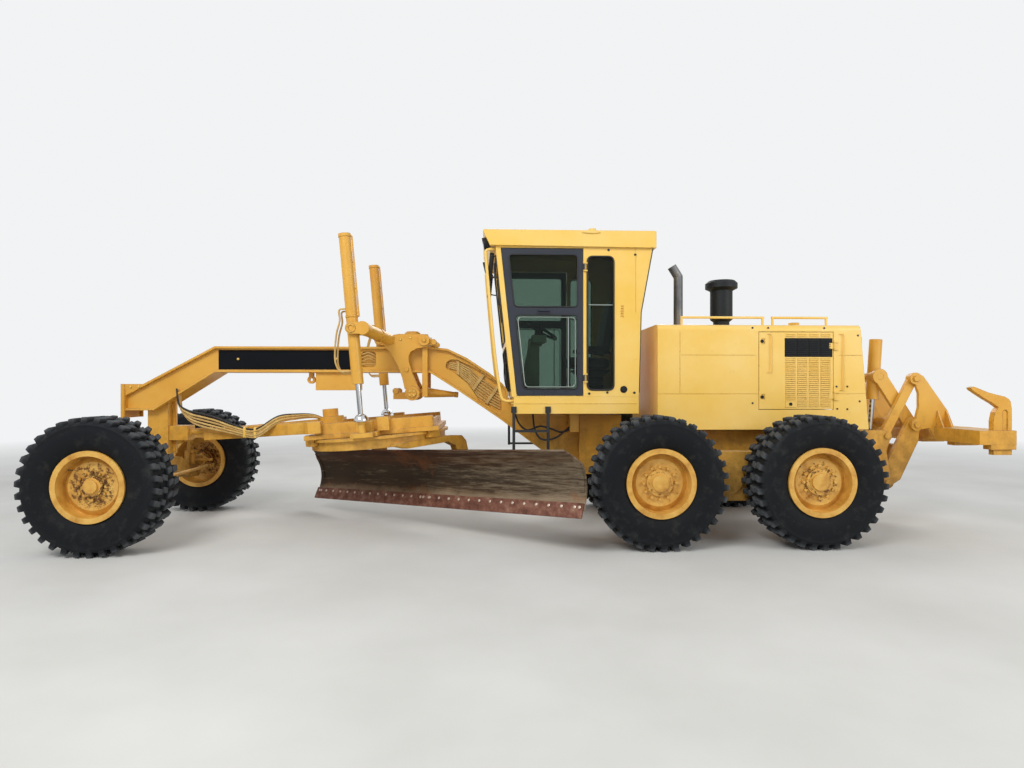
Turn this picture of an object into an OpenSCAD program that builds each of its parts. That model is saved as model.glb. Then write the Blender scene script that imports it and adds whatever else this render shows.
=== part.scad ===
// Motor grader with a long curved neck, tandem rear wheels, cab, turning blade and rear ripper.
// +X is forward, +Y is the left side, +Z is up, in millimetres.
// The origin is on the ground, on the centre plane, halfway between the two tandem axles.

/* [Wheels] */
// Distance from the tandem centre to the front axle
wheelbase = 6450; // [6250:10:6600]
// Distance between the two tandem axles
tandem_pitch = 1655; // [1600:5:1700]
// Distance between the centres of the left and right tyres
track = 2300; // [2260:10:2400]
// Outer diameter of a tyre over its lugs
tyre_d = 1370; // [1340:5:1390]
// Width of a tyre at its widest
tyre_w = 440; // [420:5:450]
// Width of the tread
tread_w = 400; // [360:5:410]
// Height of a tread lug
lug_h = 26; // [15:1:35]
// Number of lugs round each half of the tread
lug_rows = 24; // [18:2:28]
// Diameter of the rim seat under the tyre bead
rim_seat_d = 634; // [620:2:650]
// Width of the rim between its flanges
rim_w = 340; // [320:5:350]
// Height of the rim flange over the seat
rim_flange = 38; // [25:1:45]
// Number of wheel nuts
wheel_nuts = 12; // [8:1:14]

/* [Neck] */
// Width of the box section of the neck
neck_w = 300; // [240:10:320]
// Width of the top and bottom flanges of the neck
neck_flange_w = 380; // [340:10:420]
// Height of the top of the neck over the ground
neck_top = 2135; // [2100:5:2170]
// Depth of the level part of the neck
neck_depth = 300; // [260:5:340]
// Thickness of the neck flanges
flange_t = 25; // [16:1:32]
// Length from the front axle to the nose plate
nose_reach = 345; // [300:5:400]

/* [Drawbar and circle] */
// Height of the drawbar ball over the ground
ball_z = 1130; // [1110:5:1150]
// Distance of the drawbar ball behind the front axle
ball_back = 350; // [330:5:370]
// Angle by which the drawbar rises to the rear
drawbar_pitch = 4.5; // [3:0.5:6]
// Distance from the ball to the centre of the circle
ball_to_circle = 2220; // [2200:10:2240]
// Outer radius of the circle
circle_r = 820; // [800:5:840]
// Width of the ring of the circle, in plan
circle_band = 120; // [90:5:150]
// Height of the ring of the circle
circle_h = 130; // [100:5:150]
// Number of teeth inside the circle
circle_teeth = 60; // [48:2:64]
// Angle of the blade from straight across
blade_angle = 50; // [45:1:52]

/* [Blade] */
// Length of the moldboard
blade_l = 4270; // [4000:10:4300]
// Distance that the blade is shifted out to the left
blade_shift = 540; // [500:10:560]
// Radius of the curved moldboard
blade_r = 400; // [380:5:420]
// Thickness of the moldboard plate
blade_t = 22; // [16:1:26]
// Height of the cutting edge over the ground under the circle centre
blade_drop = 1075; // [1060:5:1090]
// Height of the cutting edge plate
edge_h = 150; // [130:5:160]
// Thickness of the cutting edge plate
edge_t = 20; // [14:1:24]

/* [Cab] */
// Width of the cab
cab_w = 1460; // [1400:10:1480]
// Height of the top of the cab base over the ground
cab_floor_z = 1554; // [1540:2:1570]
// Height of the underside of the cab base over the ground
cab_base_z = 1368; // [1360:2:1380]
// Height of the top of the roof over the ground
cab_top_z = 3375; // [3360:5:3400]
// Height of the roof over its underside
roof_h = 170; // [160:5:180]
// Thickness of the cab walls and posts
cab_t = 45; // [35:1:55]
// Thickness of the window glass
glass_t = 6; // [5:1:8]
// Gap round a door
door_gap = 6; // [5:1:8]

/* [Hood] */
// Width of the engine hood
hood_w = 1200; // [1140:10:1220]
// Height of the top of the hood over the ground
hood_top = 2370; // [2340:5:2400]
// Height of the bottom of the hood over the ground
hood_bottom = 1180; // [1175:1:1190]
// Thickness of the hood panels
hood_t = 30; // [20:1:35]
// Position of the front of the hood
hood_front = 665; // [640:5:670]

/* [Ripper] */
// Length of the ripper beam
ripper_l = 2200; // [2000:20:2300]
// Length of the shank
shank_l = 900; // [800:10:950]

/* [Hidden] */

run = 0.05;
gap = 5;
seat_gap = 0.3;
fine = 64;
mid = 40;
small = 24;
yellow = "#e3a93c";
black = "#1d1f22";

tyre_r = tyre_d / 2;
rim_seat_r = rim_seat_d / 2;
rim_flange_r = rim_seat_r + rim_flange;
mid_x = tandem_pitch / 2;
rear_x = -tandem_pitch / 2;
hinge_x = 780;

// Children drawn in the XZ plane and given a width from y0 to y1
module xz(y0, y1) { translate([0, y1, 0]) rotate([90, 0, 0]) linear_extrude(y1 - y0) children(); }

// Children drawn in the YZ plane and given a length from x0 to x1
module yz(x0, x1) { translate([x0, 0, 0]) rotate([90, 0, 90]) linear_extrude(x1 - x0) children(); }

// A round bar along Y
module y_bar(x, z, y0, y1, r, fn = mid) {
    translate([x, y0, z]) rotate([-90, 0, 0]) cylinder(r = r, h = y1 - y0, $fn = fn);
}

// A round bar along X
module x_bar(y, z, x0, x1, r, fn = mid) {
    translate([x0, y, z]) rotate([0, 90, 0]) cylinder(r = r, h = x1 - x0, $fn = fn);
}

// A round bar between two points
module bar(p, q, r, fn = small) {
    d = q - p;
    translate(p) rotate([0, acos(d.z / norm(d)), atan2(d.y, d.x)]) cylinder(r = r, h = norm(d), $fn = fn);
}

// A bar between two points that narrows from r1 to r2
module taper(p, q, r1, r2, fn = mid) {
    d = q - p;
    translate(p) rotate([0, acos(d.z / norm(d)), atan2(d.y, d.x)])
        cylinder(r1 = r1, r2 = r2, h = norm(d), $fn = fn);
}

// A round pipe with flat sides through points [X, Z] of the plane at y, with its corners mitred
module swept(path, y, r, fn = 8) {
    n = len(path);
    turns = [for (i = [0:n - 2]) (path[i + 1] - path[i]) / norm(path[i + 1] - path[i])];
    polyhedron(
        [for (i = [0:n - 1])
            let (a = turns[max(i - 1, 0)], b = turns[min(i, n - 2)], m = (a + b) / norm(a + b), w = r / (m * a))
            each [for (k = [0:fn - 1]) let (t = (k + 0.5) * 360 / fn)
                [path[i].x - m.y * w * cos(t), y + r * sin(t), path[i].y + m.x * w * cos(t)]]],
        concat(
            [[for (k = [fn - 1:-1:0]) k], [for (k = [0:fn - 1]) (n - 1) * fn + k]],
            [for (i = [0:n - 2], k = [0:fn - 1]) let (j = (k + 1) % fn)
                [i * fn + j, (i + 1) * fn + j, (i + 1) * fn + k, i * fn + k]]
        )
    );
}

// A box between two corners
module block(p, q) { translate(p) cube(q - p); }

// A link plate between two pins in the XZ plane, drawn flat
module link2d(p, q, r1, r2, w) {
    d = q - p;
    translate(p) circle(r = r1, $fn = mid);
    translate(q) circle(r = r2, $fn = mid);
    translate(p) rotate(atan2(d.y, d.x)) translate([0, -w / 2]) square([norm(d), w]);
}

// Children on the left side, or mirrored to the right one
module on(side) { if (side > 0) children(); else mirror([0, 1, 0]) children(); }

// Children on both sides
module both() { children(); mirror([0, 1, 0]) children(); }

// Wheels

lug_pitch = 360 / lug_rows;
// Each row is angle as a share of the pitch, and 1 at the lug's tip or 0 at its root
LUG = [[-0.36, 0], [-0.27, 1], [0.27, 1], [0.36, 0]];
lug_tip_r = tyre_r / cos((0.5 - LUG[2][0]) * lug_pitch);

// Half of the tread, with its lugs
module tread(turn) {
    rotate(turn) linear_extrude(tread_w / 2) difference() {
        polygon([for (i = [0:lug_rows - 1], k = LUG)
            let (a = (i + k[0]) * lug_pitch, r = lug_tip_r - (1 - k[1]) * lug_h) r * [cos(a), sin(a)]]);
        circle(r = rim_seat_r + 200, $fn = fine);
    }
}

// Columns are radius and half width, from the bead out to the tread
function carcass() = [
    [rim_seat_r, rim_w / 2], [rim_flange_r + 4, rim_w / 2], [rim_flange_r + 70, tyre_w / 2 - 14],
    [rim_flange_r + 165, tyre_w / 2], [tyre_r - 75, tyre_w / 2 - 6], [tyre_r - lug_h - 8, tread_w / 2]
];

module tyre() {
    color(black) {
        rotate_extrude($fn = fine) polygon(concat(
            carcass(),
            [for (i = [5:-1:0]) let (p = carcass()[i]) [p.x, -p.y]]
        ));
        tread(-90);
        mirror([0, 0, 1]) tread(-90 + lug_pitch / 2);
    }
}

hub_z = 100;

// A rim with its dished disc, its hub and its nuts, its outer side towards +Z
module rim(hub_r, spindle_r) {
    w = rim_w / 2;
    color(yellow) difference() {
        union() {
            rotate_extrude($fn = fine) polygon([
                [rim_seat_r - 14, -w - 22], [rim_flange_r, -w - 22], [rim_flange_r, -w], [rim_seat_r, -w],
                [rim_seat_r, w], [rim_flange_r, w], [rim_flange_r, w + 22], [rim_seat_r - 14, w + 22]
            ]);
            rotate_extrude($fn = fine) polygon([
                [hub_r - 10, hub_z - 16], [rim_seat_r - 85, hub_z - 16], [rim_seat_r - 30, hub_z - 60],
                [rim_seat_r - 8, hub_z - 60], [rim_seat_r - 8, hub_z - 42], [rim_seat_r - 22, hub_z - 42],
                [rim_seat_r - 76, hub_z], [hub_r - 10, hub_z]
            ]);
            translate([0, 0, -rim_w / 2]) cylinder(r = hub_r, h = rim_w / 2 + hub_z + 24, $fn = mid);
            translate([0, 0, hub_z]) cylinder(r = hub_r * 0.62, h = 52, $fn = mid);
            for (i = [0:wheel_nuts - 1]) rotate(i * 360 / wheel_nuts)
                translate([hub_r + 32, 0, hub_z - 1]) cylinder(r = 17, h = 27, $fn = 6);
        }
        translate([0, 0, -rim_w / 2 - 1]) cylinder(r = spindle_r + run, h = rim_w / 2 + 91, $fn = mid);
    }
}

module wheel_at(x, side) {
    on(side) translate([x, track / 2, tyre_r]) rotate([-90, 0, 0]) children();
}

// Rear frame

rail_y = 290;
rail_w = 80;
rail_z = 900;
rail_h = 260;
frame_back = -1740;
hitch_front = 470;
ear_r = 130;
pin_r = 50;
ear_t = 60;
// Heights of the two ears of the rear frame, which lie between those of the neck
EAR_Z = [705, 1065];

// Pivots of the ripper linkage in the XZ plane
pivot_a = [-2085, 1093];
pivot_b = [-2097, 550];
link_vec = [-350, 669];
pivot_c = pivot_a + link_vec;
pivot_d = pivot_b + link_vec;
pivot_t = [-2074, 1790];
pivot_r = [-2010, 800];
link_pin = 35;
// Radius of the bar that the rods' eyes sit on
eye_pin = 25;
plate_y = 400;
plate_t = 40;

module ripper_plates() {
    both() xz(plate_y, plate_y + plate_t) {
        polygon([
            [-1640, 1160], [-1640, 900], [-1840, 640], [pivot_b.x + 40, pivot_b.y - 70],
            [pivot_b.x - 45, pivot_b.y - 55], [pivot_b.x - 60, pivot_b.y + 30], [pivot_b.x - 25, pivot_b.y + 112],
            [pivot_a.x + 5, pivot_a.y - 180], [pivot_a.x - 40, pivot_a.y - 40], [pivot_a.x - 10, pivot_a.y + 58],
            [pivot_a.x + 60, 1158]
        ]);
        translate(pivot_a) circle(r = 62, $fn = mid);
        translate(pivot_b) circle(r = 72, $fn = mid);
    }
    y_bar(pivot_b.x, pivot_b.y, -plate_y - plate_t - 20, plate_y + plate_t + 20, link_pin);
    both() y_bar(pivot_a.x, pivot_a.y, stub_y, plate_y + plate_t + 20, link_pin);
    y_bar(pivot_r.x, pivot_r.y, -plate_y - 1, plate_y + 1, eye_pin);
    block([-1760, -plate_y - 1, 920], [-1700, plate_y + 1, 1150]);
}

module rear_frame() {
    color(yellow) {
        both() block([frame_back, rail_y, rail_z], [hitch_front, rail_y + rail_w, rail_z + rail_h]);
        both() block([-1760, rail_y, rail_z], [frame_back + 10, plate_y + plate_t, rail_z + rail_h]);
        for (x = [hitch_front - 120, -560, -1300])
            block([x, -rail_y - 1, rail_z + 20], [x + 120, rail_y + 1, rail_z + 220]);
        difference() {
            union() {
                block([hitch_front - 60, -rail_y - rail_w, EAR_Z[0]],
                      [hitch_front, rail_y + rail_w, rail_z + rail_h]);
                for (z = EAR_Z) {
                    translate([hinge_x, 0, z]) cylinder(r = ear_r, h = ear_t, $fn = fine);
                    translate([0, 0, z]) linear_extrude(ear_t) polygon([
                        [hitch_front - 1, -rail_y - rail_w], [hinge_x - 40, -ear_r + 8],
                        [hinge_x - 40, ear_r - 8], [hitch_front - 1, rail_y + rail_w]
                    ]);
                }
            }
            translate([hinge_x, 0, EAR_Z[0] - 1])
                cylinder(r = pin_r + run, h = EAR_Z[1] - EAR_Z[0] + ear_t + 2, $fn = mid);
        }
        // The axle housing of the tandem drive
        y_bar(0, tyre_r, -tandem_in, tandem_in, 165);
        block([-230, -rail_y - 1, tyre_r - 190], [230, rail_y + 1, rail_z + 40]);
        // Pads between the rails and the hood
        both() for (x = [-1200, 300])
            block([x, rail_y + 1, rail_z + rail_h - 60], [x + 120, hood_w / 2 - 2, hood_bottom]);
        ripper_plates();
    }
}

tandem_in = 690;
tandem_out = 890;
tandem_r = 255;
spindle_rear = 70;
spindle_front = 50;

module tandem_cases() {
    color(yellow) both() {
        for (x = [mid_x, rear_x]) {
            y_bar(x, tyre_r, tandem_in, tandem_out, tandem_r, fine);
            y_bar(x, tyre_r, tandem_out - 1, track / 2 + 80, spindle_rear);
        }
        xz(tandem_in, tandem_out) polygon([
            [rear_x, tyre_r - tandem_r], [mid_x, tyre_r - tandem_r], [mid_x, tyre_r + tandem_r],
            [180, tyre_r + tandem_r + 20], [-180, tyre_r + tandem_r + 20], [rear_x, tyre_r + tandem_r]
        ]);
        y_bar(0, tyre_r, tandem_in + 1, tandem_out + 25, 190, fine);
    }
}

module engine_block() {
    color("#5a5a55") block([-1150, -290, rail_z + rail_h], [420, 290, 2050]);
}

// Outline of the hood from the side, shrunk by t
function hood_side(t) = [
    [hood_front - t, hood_bottom - (t > 0 ? 1 : 0)], [hood_front - t, hood_top - t], [-1669 + t, hood_top - t],
    [-1767 + t, hood_bottom - (t > 0 ? 1 : 0)]
];
hood_round = 60;

// The hood's solid from the outside, shrunk by t
module hood_solid(t) {
    intersection() {
        xz(-hood_w, hood_w) polygon(hood_side(t));
        yz(-1800, 700) {
            w = hood_w / 2 - t;
            r = hood_round - t;
            translate([-w, 0]) square([2 * w, hood_top - hood_round]);
            translate([-w + r, hood_top - hood_round - 1]) square([2 * (w - r), r + 1]);
            for (s = [-1, 1]) translate([s * (w - r), hood_top - hood_round]) circle(r = r, $fn = mid);
        }
    }
}

engine_door_front = -489;
engine_door_back = -1357;
engine_door_z = [1405, 2290];
// Louvre columns of the engine door, as x from back to front
LOUVRE_X = [-1320, -1185, -1050, -915];
louvre_w = 115;
louvre_h = 18;
louvre_step = 44;
louvre_rows = 14;

module louvre_slots(z0, rows) {
    for (x = LOUVRE_X, i = [0:rows - 1])
        block([x, -1, z0 + i * louvre_step], [x + louvre_w, hood_t + 1, z0 + i * louvre_step + louvre_h]);
}

// Hinge axes of the engine doors and of the cab doors, in plan, and the heights of their knuckles
engine_axis = [engine_door_back - 5, hood_w / 2 + 13];
ENGINE_HINGE_Z = [1560, 2130];
hinge_r = 10;
hinge_pin_r = 6;

// A pin between two lugs that stand on the wall at the height z, with the wall's face at y
module hinge_lugs(axis, y, heights, dir) {
    for (z = heights) {
        translate([axis.x, axis.y, z - 50]) cylinder(r = hinge_pin_r, h = 100, $fn = small);
        for (dz = [-50, 34]) {
            translate([axis.x, axis.y, z + dz]) cylinder(r = hinge_r, h = 16, $fn = small);
            block([axis.x - (dir > 0 ? 40 : -4), y - 2, z + dz],
                  [axis.x + (dir > 0 ? -4 : 40), axis.y, z + dz + 16]);
        }
    }
}

// The knuckle between the lugs, with its leaf on the door's face at y
module hinge_knuckle(axis, y, heights) {
    for (z = heights) difference() {
        union() {
            translate([axis.x, axis.y, z - 33]) cylinder(r = hinge_r, h = 66, $fn = small);
            block([axis.x, y + 0, z - 33], [axis.x + 60, y + 6, z + 33]);
            block([axis.x - 2, y + 1, z - 33], [axis.x + 6, axis.y, z + 33]);
        }
        translate([axis.x, axis.y, z - 34]) cylinder(r = hinge_pin_r + run, h = 68, $fn = small);
    }
}

module engine_door(side) {
    color(yellow) on(side) hinge_knuckle(engine_axis, hood_w / 2, ENGINE_HINGE_Z);
    color(yellow) on(side) translate([0, hood_w / 2 - hood_t, 0]) difference() {
        block([engine_door_back + door_gap, 0, engine_door_z[0] + door_gap],
              [engine_door_front - door_gap, hood_t, engine_door_z[1] - door_gap]);
        louvre_slots(1440, louvre_rows);
        block([LOUVRE_X[0], -1, 2085], [LOUVRE_X[3] + louvre_w, hood_t - 12, 2225]);
        for (z = [1520, 2150])
            block([engine_door_front - 75, hood_t - 10, z], [engine_door_front - 35, hood_t + 1, z + 60]);
    }
}

module hood_rails() {
    // Columns are back, front
    for (s = [-1, 1]) for (r = [[-585, 358], [-1330, -700]]) {
        y = s * (hood_w / 2 - 110);
        bar([r[0], y, hood_top - 1], [r[0], y, hood_top + 90], 14);
        bar([r[1], y, hood_top - 1], [r[1], y, hood_top + 90], 14);
        x_bar(y, hood_top + 90, r[0] - 14, r[1] + 14, 14, small);
    }
}

module engine_hood() {
    color(yellow) {
        difference() {
            hood_solid(0);
            hood_solid(hood_t);
            for (s = [-1, 1]) translate([0, s * hood_w / 2, 0])
                block([engine_door_back, -hood_t - 1, engine_door_z[0]],
                      [engine_door_front, hood_t + 1, engine_door_z[1]]);
            // Seams between its panels
            for (s = [-1, 1]) translate([0, s * hood_w / 2, 0]) {
                block([-1800, -4, 1580], [hood_front + 1, 4, 1586]);
                block([408, -4, 1586], [414, 4, hood_top - 90]);
                block([-1800, -4, 2020], [engine_door_back - 60, 4, 2024]);
                block([engine_door_front + 30, -4, 2020], [408, 4, 2024]);
            }
            // The notch over the upper ear of the hitch
            block([hood_front - hood_t - 1, -260, hood_bottom - 1], [hood_front + 1, 260, 1215]);
            // The openings of the radiator grille at the back
            for (i = [0:16]) translate([0, 0, 1260 + i * 60]) block([-1800, -460, 0], [-1600, 460, 34]);
        }
        both() hinge_lugs(engine_axis, hood_w / 2, ENGINE_HINGE_Z, 1);
        hood_rails();
        // The housings of the rear lamps
        both() block([-1724, 430, 2140], [-1668, 540, 2240]);
        translate([-1020, hood_w / 2 - 250, hood_top - 1]) cylinder(r = 60, h = 46, $fn = mid);
    }
}

stack_x = 245;
module exhaust_stack() {
    color("#77787a") translate([stack_x, 0, hood_top]) difference() {
        union() {
            cylinder(r = 75, h = 30, $fn = mid);
            cylinder(r = 55, h = 640, $fn = mid);
            translate([0, 0, 640]) rotate([0, 32, 0]) cylinder(r = 55, h = 150, $fn = mid);
            translate([0, 0, 640]) sphere(r = 55, $fn = mid);
        }
        translate([0, 0, 640]) rotate([0, 32, 0]) translate([0, 0, 30]) cylinder(r = 47, h = 150, $fn = mid);
    }
}

module precleaner() {
    color(black) translate([-290, 0, hood_top]) rotate_extrude($fn = mid) polygon([
        [0, 0], [95, 0], [95, 90], [132, 120], [132, 470], [190, 500], [190, 560], [160, 590], [60, 600], [0, 600]
    ]);
}

// Ripper

lower_y = 345;
upper_y = 345;
link_t = 50;
arm_y = 285;
// Where the short pins of the upper link begin
stub_y = arm_y + link_t + gap + 1;

module ripper_lower_link() {
    color(yellow) difference() {
        union() {
            both() xz(lower_y, lower_y + link_t) {
                link2d(pivot_b, pivot_d, 92, 90, 180);
                polygon([
                    pivot_d + [-60, -70], pivot_d + [-50, -186], pivot_b + [-178, 25], pivot_b + [-40, -60],
                    pivot_b + [0, 60], pivot_d + [40, 0]
                ]);
            }
            both() xz(arm_y, arm_y + link_t) link2d(pivot_d, pivot_t, 88, 90, 150);
            both() for (p = [pivot_b, pivot_d]) y_bar(p.x, p.y, arm_y, lower_y + 1, 76);
            for (p = [pivot_b, pivot_d]) y_bar(p.x, p.y, -arm_y - 1, arm_y + 1, 62);
            block([pivot_b.x - 228, -lower_y - 1, 800], [pivot_b.x - 128, lower_y + 1, 980]);
        }
        for (p = [pivot_b, pivot_d]) y_bar(p.x, p.y, -400, 400, link_pin + run);
        y_bar(pivot_t.x, pivot_t.y, -400, 400, 40 + run);
    }
}

module ripper_upper_link() {
    color(yellow) difference() {
        union() {
            both() xz(upper_y, upper_y + link_t) link2d(pivot_a, pivot_c, 62, 62, 104);
        }
        y_bar(pivot_a.x, pivot_a.y, -400, 400, link_pin + run);
        y_bar(pivot_c.x, pivot_c.y, -400, 400, link_pin + 1);
    }
}

beam_x = [-3070, -2660];
beam_z = [1043, 1195];
foot_z = 991;
shank_w = 204;
shank_t = 64;
pocket_front = -2833;
// Places of the five shank pockets across the beam
POCKET_Y = [for (k = [-1, -0.5, 0, 0.5, 1]) k * (ripper_l / 2 - 55)];
// Places of the ribs beside the beam's plates, along X
RIB_X = [-2702, -2806];

module ripper_beam() {
    color(yellow) difference() {
        union() {
            block([beam_x[0], -ripper_l / 2, beam_z[0]], [beam_x[1], ripper_l / 2, beam_z[1]]);
            for (y = POCKET_Y) block([beam_x[0] + 2, y - 54, foot_z], [beam_x[0] + 281, y + 54, beam_z[0] + 1]);
            both() xz(plate_y, plate_y + plate_t) {
                polygon([
                    pivot_c + [29, 41], pivot_c + [-33, 61], pivot_c + [-89, 27], [-2814, 1386], [-2891, beam_z[1]],
                    [-2891, beam_z[0]], [beam_x[1] - 2, beam_z[0]], pivot_d + [-146, -36], pivot_d + [-60, -50],
                    pivot_d + [50, 40], pivot_d + [13, 73], pivot_d + [-21, 207],
                    pivot_c + [-33, -174], pivot_c + [22, -13]
                ]);
                for (p = [pivot_c, pivot_d]) translate(p) circle(r = 70, $fn = mid);
            }
            y_bar(pivot_d.x, pivot_d.y, -plate_y - 60, plate_y + 60, link_pin);
            both() y_bar(pivot_c.x, pivot_c.y, stub_y, plate_y + 60, link_pin);
            both() for (x = RIB_X) yz(x, x + 18) polygon([
                [plate_y + plate_t - 1, beam_z[1] - 1], [plate_y + plate_t + 100, beam_z[1] - 1],
                [plate_y + plate_t + 8, beam_z[1] + 190], [plate_y + plate_t - 1, beam_z[1] + 190]
            ]);
        }
        for (y = POCKET_Y)
            block([pocket_front - shank_w - seat_gap, y - shank_t / 2 - seat_gap, foot_z - 1],
                  [pocket_front + seat_gap, y + shank_t / 2 + seat_gap, beam_z[1] + 1]);
    }
}

module ripper_shank() {
    x0 = pocket_front - shank_w;
    color(yellow) difference() {
        xz(POCKET_Y[4] - shank_t / 2, POCKET_Y[4] + shank_t / 2) polygon([
            [pocket_front, beam_z[0] - 110], [pocket_front, 1300], [pocket_front - 20, 1390], [-2890, 1444],
            [-2826, 1489], [-2751, 1531], [-2676, 1578], [-2599, 1629], [-2580, 1653], [-2618, 1666],
            [-2700, 1634], [-2776, 1604], [-2866, 1580], [-2954, 1561], [-3000, 1536], [-3024, 1506], [x0, 1420], [x0, beam_z[0] - 110]
        ]);
        // The shallow slot in its side
        xz(POCKET_Y[4] + shank_t / 2 - 10, POCKET_Y[4] + shank_t / 2 + 1) {
            translate([-2992, beam_z[1] + 3]) square([57, 190]);
            translate([-2963.5, beam_z[1] + 193]) circle(r = 28.5, $fn = mid);
        }
    }
}

barrel_y = 205;
ripper_barrel_r = 70;
// How far the barrels reach over and under their trunnion
ripper_barrel_z = [-273, 446];
barrel_lean = atan2(pivot_t.x - pivot_r.x, pivot_t.y - pivot_r.y);

module at_trunnion() { translate([pivot_t.x, 0, pivot_t.y]) rotate([0, barrel_lean, 0]) children(); }

module ripper_barrels() {
    z0 = ripper_barrel_z[0];
    z1 = ripper_barrel_z[1];
    color(yellow) at_trunnion() difference() {
        union() {
            both() translate([0, barrel_y, z0]) cylinder(r = ripper_barrel_r, h = z1 - z0, $fn = mid);
            y_bar(0, 0, -arm_y - link_t, arm_y + link_t, 40);
            both() y_bar(0, 0, barrel_y - 40, arm_y - gap, 78);
        }
        both() translate([0, barrel_y, z0 - 1]) cylinder(r = ripper_rod_r + seat_gap, h = 61, $fn = mid);
        both() translate([0, barrel_y, z0 + 59]) cylinder(r = ripper_rod_r + 12, h = z1 - z0 - 89, $fn = mid);
    }
}

rod_eye = norm(pivot_t - pivot_r);
eye_slack = 25;
eye_ring = eye_pin + eye_slack + 14;
ripper_rod_r = 30;
module ripper_rods() {
    color("silver") at_trunnion() difference() {
        union() {
            both() translate([0, barrel_y, -rod_eye + eye_pin + eye_slack])
                cylinder(r = ripper_rod_r, h = rod_eye - eye_pin - eye_slack + ripper_barrel_z[1] - 66, $fn = mid);
            both() y_bar(0, -rod_eye, barrel_y - 45, barrel_y + 45, eye_ring);
            y_bar(0, -rod_eye, -barrel_y, barrel_y, eye_ring - 4);
        }
        y_bar(0, -rod_eye, -400, 400, eye_pin + eye_slack);
    }
}

// Neck

neck_x0 = wheelbase + nose_reach;
neck_bottom = neck_top - neck_depth;
ball_x = wheelbase - ball_back;
// Where the level part of the neck ends, in front and behind
bend_front = wheelbase - 714;
bend_back = ball_x - 2850;
// Where the neck meets the front of the cab
neck_join = 2348;
box_back = 1000;
box_front = 1500;
under_z = 640;
// Ends of the box under the neck
under_box_x = [ball_x - 1994, ball_x - 1514];
under_box_h = 210;

// Place along the rear bend, from 0 at the cab to 1 at the level part
function bend_x(t) = neck_join + t * (bend_back - neck_join);

// Outline of the neck from the side
function neck_line() = [
    [neck_x0 - 26, 1576], [bend_front, neck_top], [bend_back, neck_top], [bend_x(0.773), neck_top - 22],
    [bend_x(0.524), neck_top - 128], [bend_x(0.226), neck_top - 306], [bend_x(0.058), 1705], [neck_join, 1640],
    [2325, 1515], [2080, 1380], [1860, 1335], [box_front, 1335], [box_front, under_z + 50], [1876, 871],
    [bend_x(0.09), 1286], [bend_x(0.6075), 1605], [bend_x(0.939), 1797],
    [saddle_x[0] - 4, neck_bottom], [bend_front, neck_bottom], [neck_x0 - 364, 1393], [neck_x0 - 26, 1393]
];

recess = 40;
// Outline of the open side of the rear bend; columns are the place along the bend and Z
PIPE_RECESS = [
    [0.8, 1905], [0.79, 1955], [0.735, 1988], [0.65, 1984], [0.5, 1925], [0.35, 1850], [0.146, 1716], [0.07, 1640],
    [0.07, 1385], [0.1, 1362], [0.235, 1440], [0.36, 1500], [0.435, 1605], [0.512, 1700], [0.61, 1778],
    [0.71, 1852], [0.775, 1872]
];

module gooseneck() {
    color(yellow) {
        difference() {
            xz(-neck_w / 2, neck_w / 2) polygon(neck_line());
            // The open sides of the rear bend, where the pipes run, and the slots in front of the saddle
            both() xz(neck_w / 2 - recess, neck_w / 2 + 1) {
                polygon([for (q = PIPE_RECESS) [bend_x(q[0]), q[1]]]);
                pane([lift_top.x - 115, neck_top - 236], [lift_top.x + 52, neck_top - 56], 40);
            }
        }
        // Flanges that stand out past the web, along the top and along the bottom
        xz(-neck_flange_w / 2, neck_flange_w / 2) {
            difference() {
                polygon(neck_line());
                offset(delta = -flange_t) polygon(neck_line());
                square([2000, 4000]);
            }
        }
        // Nose plate and its bracket
        difference() {
            block([neck_x0 - 26, -neck_flange_w / 2, 1306], [neck_x0, neck_flange_w / 2, 1698]);
            for (y = [-150, 150], z = [1352, 1652]) x_bar(y, z, neck_x0 - 30, neck_x0 + 1, 13, small);
        }
        block([neck_x0 - 250, -neck_flange_w / 2, 1682], [neck_x0 - 20, neck_flange_w / 2, 1698]);
        both() {
            xz(neck_flange_w / 2 - 16, neck_flange_w / 2) polygon([
                [neck_x0 - 20, 1690], [neck_x0 - 250, 1690], [neck_x0 - 250, 1677], [neck_x0 - 20, 1552]
            ]);
            translate([neck_x0 - 27, neck_flange_w / 2, 1306]) cylinder(r = 22, h = 392, $fn = small);
        }
        // The eye under the neck
        difference() {
            union() {
                y_bar(under_box_x[1] + 67, neck_bottom - 86, 60, 100, 46);
                block([under_box_x[1] + 40, 60, neck_bottom - 86], [under_box_x[1] + 94, 100, neck_bottom + 1]);
            }
            y_bar(under_box_x[1] + 67, neck_bottom - 86, 59, 101, 19, small);
        }
        // The box under the neck
        block([under_box_x[0], -neck_w / 2, neck_bottom - under_box_h],
              [under_box_x[1], neck_w / 2, neck_bottom + 1]);
        // Cab posts
        both() {
            block([1537, 360, 1150], [1640, 480, cab_base_z]);
            block([1537, neck_w / 2 - 10, 1150], [1640, 480, 1240]);
        }
    }
}

// The box under the cab, with the ears and the pin of the hitch
module hitch_box() {
    color(yellow) {
        block([box_back, -250, under_z], [box_front, 250, 1335]);
        for (z = [EAR_Z[0] - ear_t - gap, EAR_Z[1] + ear_t + gap]) {
            translate([hinge_x, 0, z]) cylinder(r = ear_r, h = ear_t, $fn = fine);
            translate([0, 0, z]) linear_extrude(ear_t) polygon([
                [box_back + 1, -230], [hinge_x + 40, -ear_r + 8], [hinge_x + 40, ear_r - 8], [box_back + 1, 230]
            ]);
        }
        translate([hinge_x, 0, EAR_Z[0] - ear_t - gap]) cylinder(
            r = pin_r, h = EAR_Z[1] - EAR_Z[0] + 3 * ear_t + 2 * gap, $fn = mid);
    }
}

// Room of the drawbar's ball in its socket
socket_slack = 0.8;

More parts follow.
